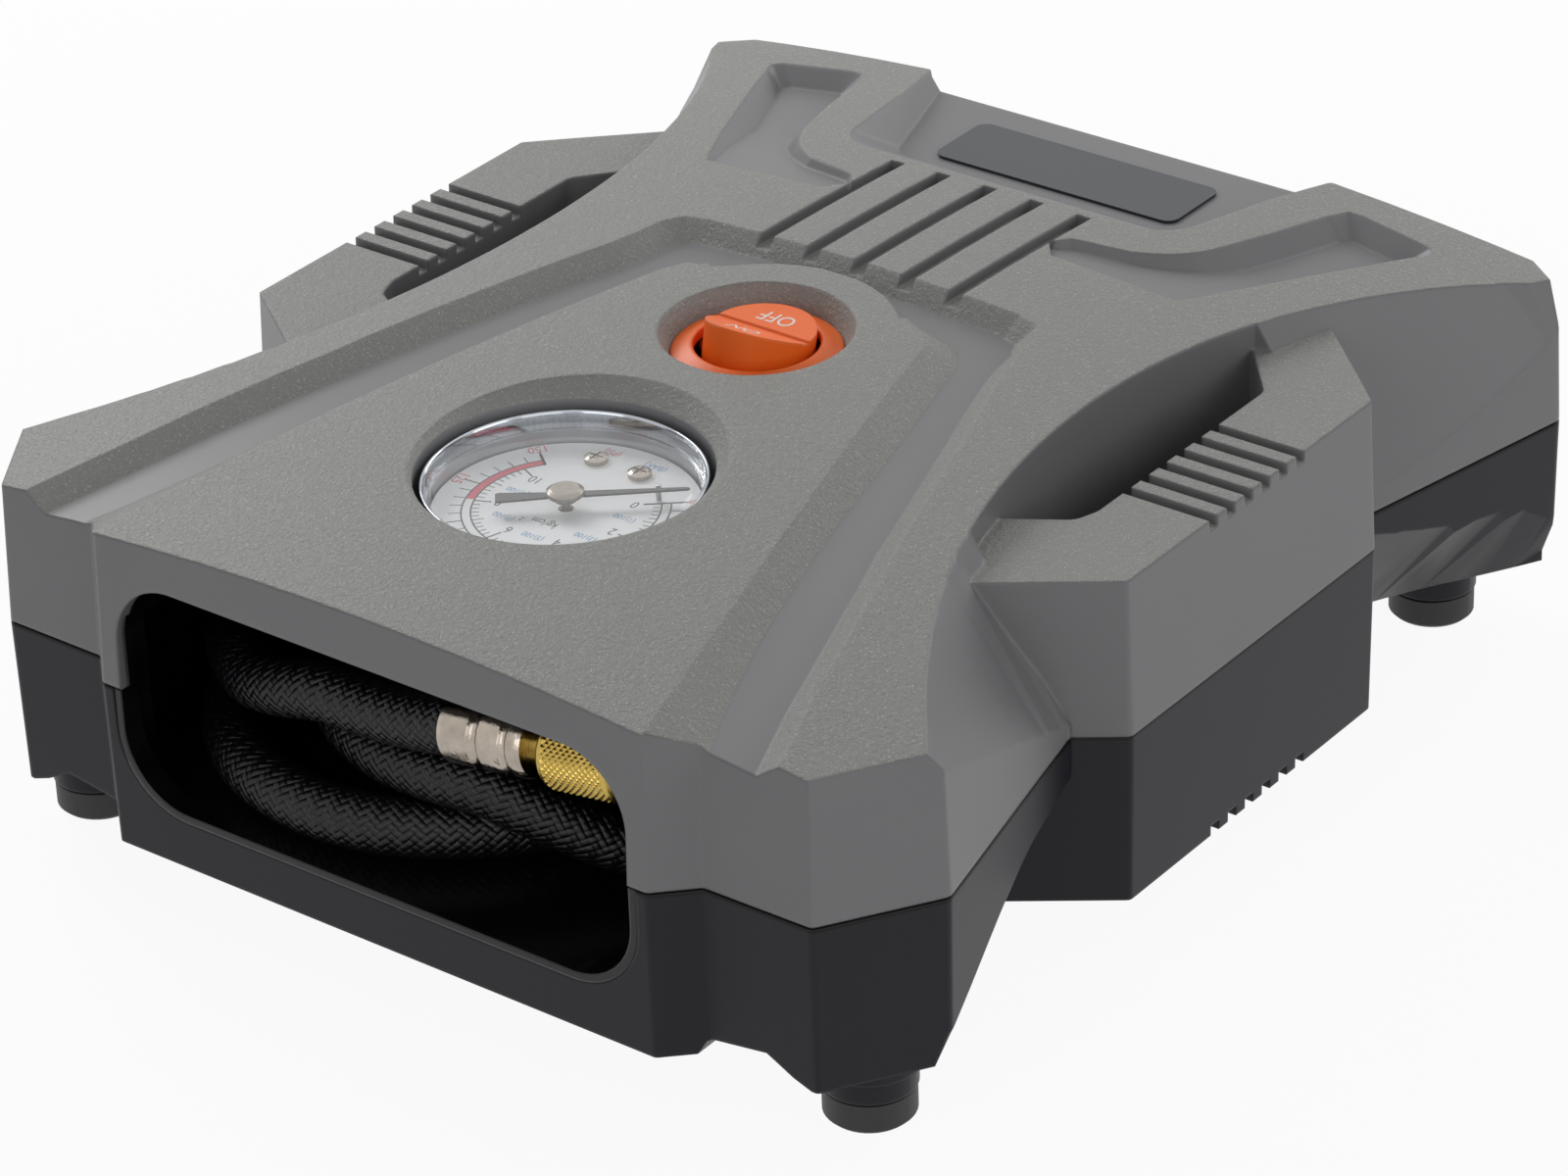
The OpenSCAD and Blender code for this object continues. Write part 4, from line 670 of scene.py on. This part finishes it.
def make_chuck():
    """Brass nut with a diamond knurl rolled between two plain lands."""
    low, high = KNURL
    outer = [(5.6, 0.0), (6.5, 0.45), (6.86, 1.0), (CHUCK_R - 0.26, 1.45)]
    outer += [(CHUCK_R, low + (high - low) * i / KNURL_ROWS) for i in range(KNURL_ROWS + 1)]
    outer += [(CHUCK_R - 0.26, NUT_LEN - 1.15), (6.9, NUT_LEN - 0.6), (6.3, NUT_LEN)]
    inner = [(VALVE_R + 0.9, NUT_LEN), (VALVE_R, NUT_LEN - 0.9), (VALVE_R, 9.8),
             (SHOULDER_R, 9.8), (SHOULDER_R, 5.8), (STEM_R, 5.8), (STEM_R, 0.0), (5.6, 0.0)]
    piece = turned("valve_chuck", outer + inner, KNURL_COLUMNS, look["brass"])
    roll_knurl(piece)
    piece.data.transform(hose_end() @ Matrix.Translation((0, 0, NUT_FROM * MM)))
    smooth_up_to(piece, 22)
    return piece


valve_chuck = make_chuck()
finish_piece(valve_chuck, "chuck", "brass", "chuck_nut")


# ---------- case ----------

# the lid's crown: its height, the line that it falls from, and its fall along and across
CROWN_TOP = 40.1
CROWN_LINE = -4
FALL_ALONG = 1 / 2200
FALL_ACROSS = 1 / 1400
# the waist curves on both sides of the lid's top are arcs round a point beside the case
WAIST_R = 160
WAIST_CENTRE = (224, 1)
VALLEY_DEPTH = 3.8
HANDLE_TOP = 30.4
SUNK = 0.25        # a face that lies deeper under the crown is not part of it
ON_FORM = 0.35     # how close a face lies to the form that it belongs to
LEVEL_UP = 0.97    # a level face points up by more than this
FAIR_SHIFT = 1.6   # a point farther off its fair curve belongs to another edge


def crown(x, y):
    """Height of the lid's crowned surface, in the working frame."""
    return CROWN_TOP - (y - CROWN_LINE) ** 2 * FALL_ALONG - x * x * FALL_ACROSS


def waist(y):
    """Half width of the lid's top between its two waist curves."""
    return WAIST_CENTRE[0] - math.sqrt(WAIST_R ** 2 - (y - WAIST_CENTRE[1]) ** 2)


def grained_face(face):
    """Faces that the tool's grain covers: the panel with its slopes, the strips beside the
    valley, the round rims and the handles. The sunk floors, the scoops in the sides and the
    outer walls are left smooth."""
    x, y, z = face.center / MM - CASE_ORIGIN
    up = face.normal.z
    under = crown(x, y) - z
    if abs(z - HANDLE_TOP) < 0.1 and up > 0.999:
        return True
    wall = up < 0.12 or z < 0.6
    scoop = abs(x) > waist(y) + 0.4 and up < LEVEL_UP
    valley_floor = abs(under - VALLEY_DEPTH) < ON_FORM and up > LEVEL_UP
    label_end = under > SUNK and (y > 60 or y > 40 and abs(x) > 20)
    return not (wall or scoop or valley_floor or label_end)


def slope_form(face):
    """Which form of the panel's surround a face belongs to: top, slope or floor."""
    x, y, z = face.center / MM - CASE_ORIGIN
    under = crown(x, y) - z
    if y > -3 or abs(x) < 28:
        return None
    if face.normal.z > LEVEL_UP:
        if abs(under) < ON_FORM:
            return "top"
        if abs(under - VALLEY_DEPTH) < ON_FORM:
            return "floor"
    elif face.normal.z > 0.6 and face.normal.x * x > 0 and under > 0.3:
        return "slope"


def fair_slopes(lid):
    """The long edges at the top and the foot of the panel's slopes, each as one clean curve
    that is the same on both sides."""
    forms = [set() for _ in lid.data.vertices]
    for face in lid.data.polygons:
        form = slope_form(face)
        for index in face.vertices:
            forms[index].add(form)
    for other in ("top", "floor"):
        edge = [v for v, near in zip(lid.data.vertices, forms) if {"slope", other} <= near]
        points = [v.co / MM - CASE_ORIGIN for v in edge]
        curve = numpy.polyfit([p.y for p in points], [abs(p.x) for p in points], 3)
        for vertex, point in zip(edge, points):
            x = math.copysign(float(numpy.polyval(curve, point.y)), point.x)
            if abs(x - point.x) < FAIR_SHIFT:
                z = point.z + crown(x, point.y) - crown(point.x, point.y)
                vertex.co = (Vector((x, point.y, z)) + CASE_ORIGIN) * MM
    lid.data.update()


def make_lid():
    lid = merged_copy("top_cover", "lid", look["smooth"], look["grained"])
    fair_slopes(lid)
    smooth_shell(lid)
    for face in lid.data.polygons:
        face.material_index = int(grained_face(face))
    return finish_piece(lid, "case", "cover_grey", "top_cover")


# the undercuts lie beyond this Y at both ends, and this height parts their two edges
UNDERCUT_FROM = 55
UNDERCUT_SPLIT = -32.9


def fair_undercuts(base):
    """The edges of the undercuts beside the feet, each as one clean curve. The lower edge
    moves sideways and the upper edge up or down, and both sides stay the same."""
    # the undercut is a sloping face under the upright wall
    under, wall = set(), set()
    for face in base.data.polygons:
        outward = face.normal.x * math.copysign(1, face.center.x)
        if outward > 0.6 and abs(face.normal.z) < 0.05:
            wall.update(face.vertices)
        elif outward > 0.6 and -0.62 < face.normal.z < -0.28:
            under.update(face.vertices)
    for end in (1, -1):
        for lower in (True, False):
            edge = []
            for index in under if lower else under & wall:
                point = base.data.vertices[index].co / MM - CASE_ORIGIN
                if point.y * end > UNDERCUT_FROM and (point.z < UNDERCUT_SPLIT) == lower:
                    edge.append((index, point))
            if len(edge) < 12:
                continue
            curve = numpy.polyfit([p.y for _, p in edge],
                                  [abs(p.x) if lower else p.z for _, p in edge], 3)
            for index, point in edge:
                fair = float(numpy.polyval(curve, point.y))
                shift = fair - (abs(point.x) if lower else point.z)
                if abs(shift) < FAIR_SHIFT:
                    if lower:
                        point.x = math.copysign(fair, point.x)
                    else:
                        point.z = fair
                    base.data.vertices[index].co = (point + CASE_ORIGIN) * MM
    base.data.update()


def make_base():
    base = merged_copy("bottom_cover", "base", look["black"])
    fair_undercuts(base)
    smooth_shell(base, 28)
    return finish_piece(base, "case", "shell_black", "bottom_cover")


def make_tray():
    tray = merged_copy("hose_tray", "bay_tray", look["gloss"])
    smooth_shell(tray)
    return finish_piece(tray, "case", "tray_black", "hose_tray")


make_lid()
make_base()
make_tray()


def keep_node(name, made):
    """A CAD node that shows as it is, with the finish of the real piece."""
    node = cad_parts[name]
    node.data.materials.clear()
    node.data.materials.append(made)


FINISHES = {
    "name_plate": "plate", "gauge_bezel": "chrome", "gauge_case": "steel",
    "gauge_lens": "window", "gauge_dial": "dial", "dial_screws": "nickel",
    "stop_pin": "steel", "gauge_movement": "brass", "gauge_needle": "needle",
    "needle_hub": "hub", "switch_ring": "orange", "switch_body": "black_nylon",
    "switch_terminals": "brass", "switch_rocker": "orange", "foot_collars": "black",
    "foot_pads": "rubber", "foot_screws": "zinc", "case_screws": "zinc",
    "chuck_stem": "brass", "chuck_washer": "rubber", "hose_fitting": "brass",
    "fitting_nut": "brass", "motor_can": "steel", "motor_cap": "black_nylon",
    "motor_terminals": "brass", "motor_shaft": "steel", "motor_pinion": "brass",
    "motor_fan": "black_nylon", "pump_frame": "cast", "frame_screws": "zinc",
    "gear_axle": "steel", "drive_gear": "nylon", "crank_pin": "steel",
    "piston_rod": "cast", "piston_cup": "ptfe", "pump_cylinder": "cast",
    "cylinder_head": "cast", "head_screws": "zinc", "gauge_line": "line",
    "delivery_pipe": "brass", "cord_grommet": "rubber",
}
for node_name, finish in FINISHES.items():
    keep_node(node_name, look[finish])


# ---------- printed dial ----------

DIAL_AT = case(0, -70, 28.3)
PRINT = 0.04
CAP_HEIGHT = 0.72  # of a letter, as a share of the type's size
# the reader stands behind the case, so the print is turned half round
READER = Matrix.Rotation(math.pi, 4, "Z")
# reader's angles of the scale's zero and full, and of one kg/cm2 and one psi, in degrees
FULL_PSI = 150
ZERO = 219.5
PER_BAR = -24.45
PER_PSI = -257.9 / FULL_PSI
FULL = ZERO + FULL_PSI * PER_PSI
# radii of the two lines of the double ring, and where its ticks end
INNER_LINE = (16.75, 17.05)
OUTER_LINE = (18.45, 18.75)
LONG, MIDDLE, SHORT = 13.7, 14.7, 15.4
PSI_LONG, PSI_SHORT = 21.6, 20.9
BOLD, FINE = 0.34, 0.2


def dial_place(radius, angle, turn):
    """Place on the dial at a reader's polar angle, with the print's own turn in degrees."""
    spot = Matrix.Translation((radius * MM * math.cos(math.radians(angle)),
                               radius * MM * math.sin(math.radians(angle)), 0))
    return (Matrix.Translation(DIAL_AT) @ READER @ spot
            @ Matrix.Rotation(math.radians(turn), 4, "Z"))


def printed_words(words, height, slot, place, narrow=0.82):
    """Printed words, height millimetres tall, centred on their place."""
    bpy.ops.object.select_all(action="DESELECT")
    bpy.ops.object.text_add()
    text = bpy.context.object
    text.data.body = words
    text.data.align_x = "CENTER"
    text.data.align_y = "CENTER"
    text.data.size = height * MM / CAP_HEIGHT
    text.data.extrude = PRINT / 2 * MM
    text.data.resolution_u = 4
    bpy.ops.object.convert(target="MESH")
    piece = bpy.context.object
    piece.data.transform(place @ Matrix.Diagonal((narrow, 1, 1, 1)))
    piece.data.materials.clear()
    piece.data.materials.append(look[slot])
    return piece


def ink_bar():
    """Mesh of one printed bar, a metre square and raised by the thickness of the ink."""
    bpy.ops.object.select_all(action="DESELECT")
    bpy.ops.mesh.primitive_plane_add(size=1)
    bar = bpy.context.object
    bpy.ops.object.mode_set(mode="EDIT")
    bpy.ops.mesh.select_all(action="SELECT")
    bpy.ops.mesh.extrude_region_move(TRANSFORM_OT_translate={"value": (0, 0, PRINT / 2 * MM)})
    bpy.ops.object.mode_set(mode="OBJECT")
    bar.data.materials.append(look["ink_black"])
    mesh = bar.data
    bpy.data.objects.remove(bar)
    return mesh


BAR = ink_bar()


def tick(angle, inner, outer, width):
    """Copy of the printed bar, from one radius to another at a reader's angle."""
    bar = bpy.data.objects.new("tick", BAR.copy())
    bpy.context.scene.collection.objects.link(bar)
    size = Matrix.Diagonal(((outer - inner) * MM, width * MM, 1, 1))
    bar.data.transform(dial_place((inner + outer) / 2, angle, angle) @ size)
    return bar


def printed_ring(inner, outer, slot, start, end):
    """Printed ring from one radius to another, kept between two reader's angles."""
    bpy.ops.object.select_all(action="DESELECT")
    bpy.ops.mesh.primitive_circle_add(vertices=240, radius=inner * MM)
    ring = bpy.context.object
    bpy.ops.object.mode_set(mode="EDIT")
    bpy.ops.mesh.select_mode(type="VERT")
    bpy.ops.mesh.select_all(action="SELECT")
    bpy.ops.mesh.extrude_region_move()
    grow = outer / inner
    bpy.ops.transform.resize(value=(grow, grow, 1))
    bpy.ops.mesh.select_all(action="SELECT")
    bpy.ops.mesh.normals_make_consistent(inside=False)
    bpy.ops.mesh.select_all(action="DESELECT")
    bpy.ops.object.mode_set(mode="OBJECT")
    for face in ring.data.polygons:
        angle = math.degrees(math.atan2(face.center.y, face.center.x))
        face.select = (angle - end) % 360 > (start - end) % 360
    bpy.ops.object.mode_set(mode="EDIT")
    bpy.ops.mesh.select_mode(type="FACE")
    bpy.ops.mesh.delete(type="FACE")
    bpy.ops.mesh.select_all(action="SELECT")
    bpy.ops.mesh.extrude_region_move(TRANSFORM_OT_translate={"value": (0, 0, PRINT / 2 * MM)})
    bpy.ops.mesh.select_all(action="SELECT")
    bpy.ops.mesh.normals_make_consistent(inside=False)
    bpy.ops.object.mode_set(mode="OBJECT")
    ring.data.transform(Matrix.Translation(DIAL_AT) @ READER)
    ring.data.materials.append(look[slot])
    return ring


def joined(pieces, name):
    """Pieces that are printed in one pass, as one piece."""
    bpy.ops.object.select_all(action="DESELECT")
    for piece in pieces:
        piece.select_set(True)
    bpy.context.view_layer.objects.active = pieces[0]
    bpy.ops.object.join()
    pieces[0].name = name
    return pieces[0]


def print_dial():
    """Two scales round one double ring: kg/cm2 inside in black, psi outside in red."""
    black = [printed_ring(*INNER_LINE, "ink_black", ZERO, FULL),
             printed_ring(*OUTER_LINE, "ink_black", ZERO, FULL)]
    for i in range(51):
        reach = LONG if i % 10 == 0 else MIDDLE if i % 5 == 0 else SHORT
        black.append(tick(ZERO + i * 0.2 * PER_BAR, reach, 16.8,
                          BOLD if i % 10 == 0 else FINE))
    for i in range(31):
        reach = PSI_LONG if i % 5 == 0 else PSI_SHORT
        black.append(tick(ZERO + i * 5 * PER_PSI, 18.7, reach, 0.3 if i % 5 == 0 else FINE))
    black += [tick(ZERO, LONG, PSI_LONG, 0.42), tick(FULL, 16.8, PSI_SHORT, 0.5)]
    for i in range(6):
        black.append(printed_words(str(2 * i), 2.3, "ink_black",
                                   dial_place(12.2, ZERO + 2 * i * PER_BAR, 0)))
    black.append(printed_words("kg/cm", 2.0, "ink_black", dial_place(6.2, 90, 0)))
    black.append(printed_words("2", 1.3, "ink_black", dial_place(8.4, 60, 0)))
    finish_piece(joined(black, "dial_print_black"), "case", "needle_black")
    # the red field runs over the last part of the scale
    red = [printed_ring(INNER_LINE[1], OUTER_LINE[0], "ink_red", FULL + 61.5, FULL)]
    for i in range(7):
        angle = ZERO + 25 * i * PER_PSI
        below = math.sin(math.radians(angle)) < 0.2
        red.append(printed_words(str(25 * i), 2.3, "ink_red",
                                 dial_place(22.9, angle, angle + (90 if below else -90))))
    red.append(printed_words("(PSI)", 1.7, "ink_red", dial_place(21.6, 286, 0)))
    finish_piece(joined(red, "dial_print_red"), "case", "bezel_chrome")
    blue = [printed_words("(%d)100" % n, 1.5, "ink_blue",
                          dial_place(11.2, ZERO + n * PER_BAR, 0)) for n in (1, 3, 5, 7, 9)]
    blue.append(printed_words("(BAR)", 1.7, "ink_blue", dial_place(21.1, 259.5, 0)))
    finish_piece(joined(blue, "dial_print_blue"), "case", "dial_white")


print_dial()


# ---------- letters on the switch ----------

ROCKER_PIVOT = case(0, -13.73, 33)
ROCKER_TILT = math.radians(12)
RIDGE = 6.1          # height of the ridge between the two halves over the pivot
LETTERS_OUT = 5.2    # from the ridge to the middle of the letters


def rocker_letters(words, side):
    """White letters on one half of the rocker, where side is 1 for the half at the bay."""
    lean = Matrix.Rotation(-ROCKER_TILT, 4, "X") @ Matrix.Translation((0, 0, RIDGE * MM))
    # the half's own face leans away from the ridge
    slope = Matrix.Rotation(-ROCKER_TILT * side, 4, "X")
    place = (Matrix.Translation(ROCKER_PIVOT) @ lean @ slope
             @ Matrix.Translation((0, -LETTERS_OUT * side * MM, PRINT / 2 * MM)) @ READER)
    return printed_words(words, 3.7, "ink_white", place, 0.85)


for words, side in (("ON", 1), ("OFF", -1)):
    letters = rocker_letters(words, side)
    letters.name = "switch_letters_" + words.lower()
    finish_piece(letters, "rocker", "dial_white")


# ---------- floor and light ----------

def plainly_seen(tree):
    """1 where a surface is looked at straight, in a mirror or through glass, and 0 where it
    only lights other surfaces."""
    path = add(tree, "ShaderNodeLightPath").outputs
    straight = add(tree, "ShaderNodeMath",
                   {0: path["Is Camera Ray"], 1: path["Is Glossy Ray"]}, operation="MAXIMUM")
    through = add(tree, "ShaderNodeMath",
                  {0: straight.outputs[0], 1: path["Is Transmission Ray"]},
                  operation="MAXIMUM")
    return through.outputs[0]


def make_stage():
    """A plain pale sheet that the part stands on."""
    bpy.ops.object.select_all(action="DESELECT")
    bpy.ops.mesh.primitive_plane_add(size=6, location=(0, 0, -0.0002))
    floor = bpy.context.object
    floor.name = "floor"
    made, tree, shader = surface("paper_sweep", roughness=0.9, specular_ior_level=0.2)
    shader.inputs["Base Color"].default_value = linear("#f4f4f4")
    glow = add(tree, "ShaderNodeEmission", {"Color": linear("#ffffff"), "Strength": 1.0})
    # looked at, the sheet is nearly white, and the last share of it takes the shadows
    shade = add(tree, "ShaderNodeMixShader",
                {0: 0.93, 1: shader.outputs[0], 2: glow.outputs[0]})
    mixed = add(tree, "ShaderNodeMixShader",
                {0: plainly_seen(tree), 1: shader.outputs[0], 2: shade.outputs[0]})
    tree.links.new(mixed.outputs[0], tree.nodes["Material Output"].inputs["Surface"])
    floor.data.materials.append(made)


# side of each square softbox, its place in metres and its power in watts; the lamps behind
# stand beside the place that the flat gauge window would mirror
SOFTBOXES = {
    "softbox_rear_left": (0.5, (-0.95, 0.3, 0.75), 6.2),
    "softbox_rear_high": (0.5, (-0.4, 0.75, 1.0), 1.6),
    "softbox_rear_low": (0.5, (0.2, 1.0, 0.5), 2.4),
    "softbox_right": (0.6, (1.0, 0.1, 0.5), 2.0),
    "softbox_front": (0.6, (0.1, -1.0, 0.5), 1.6),
    "softbox_front_right": (0.6, (0.8, -0.6, 0.5), 0.8),
}
PART_MIDDLE = Vector((0, 0, 0.05))


def light_scene():
    for name, (side, place, power) in SOFTBOXES.items():
        data = bpy.data.lights.new(name, "AREA")
        data.size = side
        data.energy = power
        lamp = bpy.data.objects.new(name, data)
        lamp.location = place
        lamp.rotation_euler = (PART_MIDDLE - Vector(place)).to_track_quat("-Z", "Y").to_euler()
        bpy.context.scene.collection.objects.link(lamp)
    world = bpy.data.worlds.new("studio")
    bpy.context.scene.world = world
    world.use_nodes = True
    tree = world.node_tree
    back = tree.nodes["Background"]
    white = add(tree, "ShaderNodeBackground", {"Color": linear("#ffffff"), "Strength": 1.0})
    back.inputs["Color"].default_value = linear("#f4f6f8")
    back.inputs["Strength"].default_value = 0.2
    mixed = add(tree, "ShaderNodeMixShader",
                {0: plainly_seen(tree), 1: back.outputs[0], 2: white.outputs[0]})
    tree.links.new(mixed.outputs[0], tree.nodes["World Output"].inputs["Surface"])


make_stage()
light_scene()

bpy.context.scene.view_settings.view_transform = "Standard"
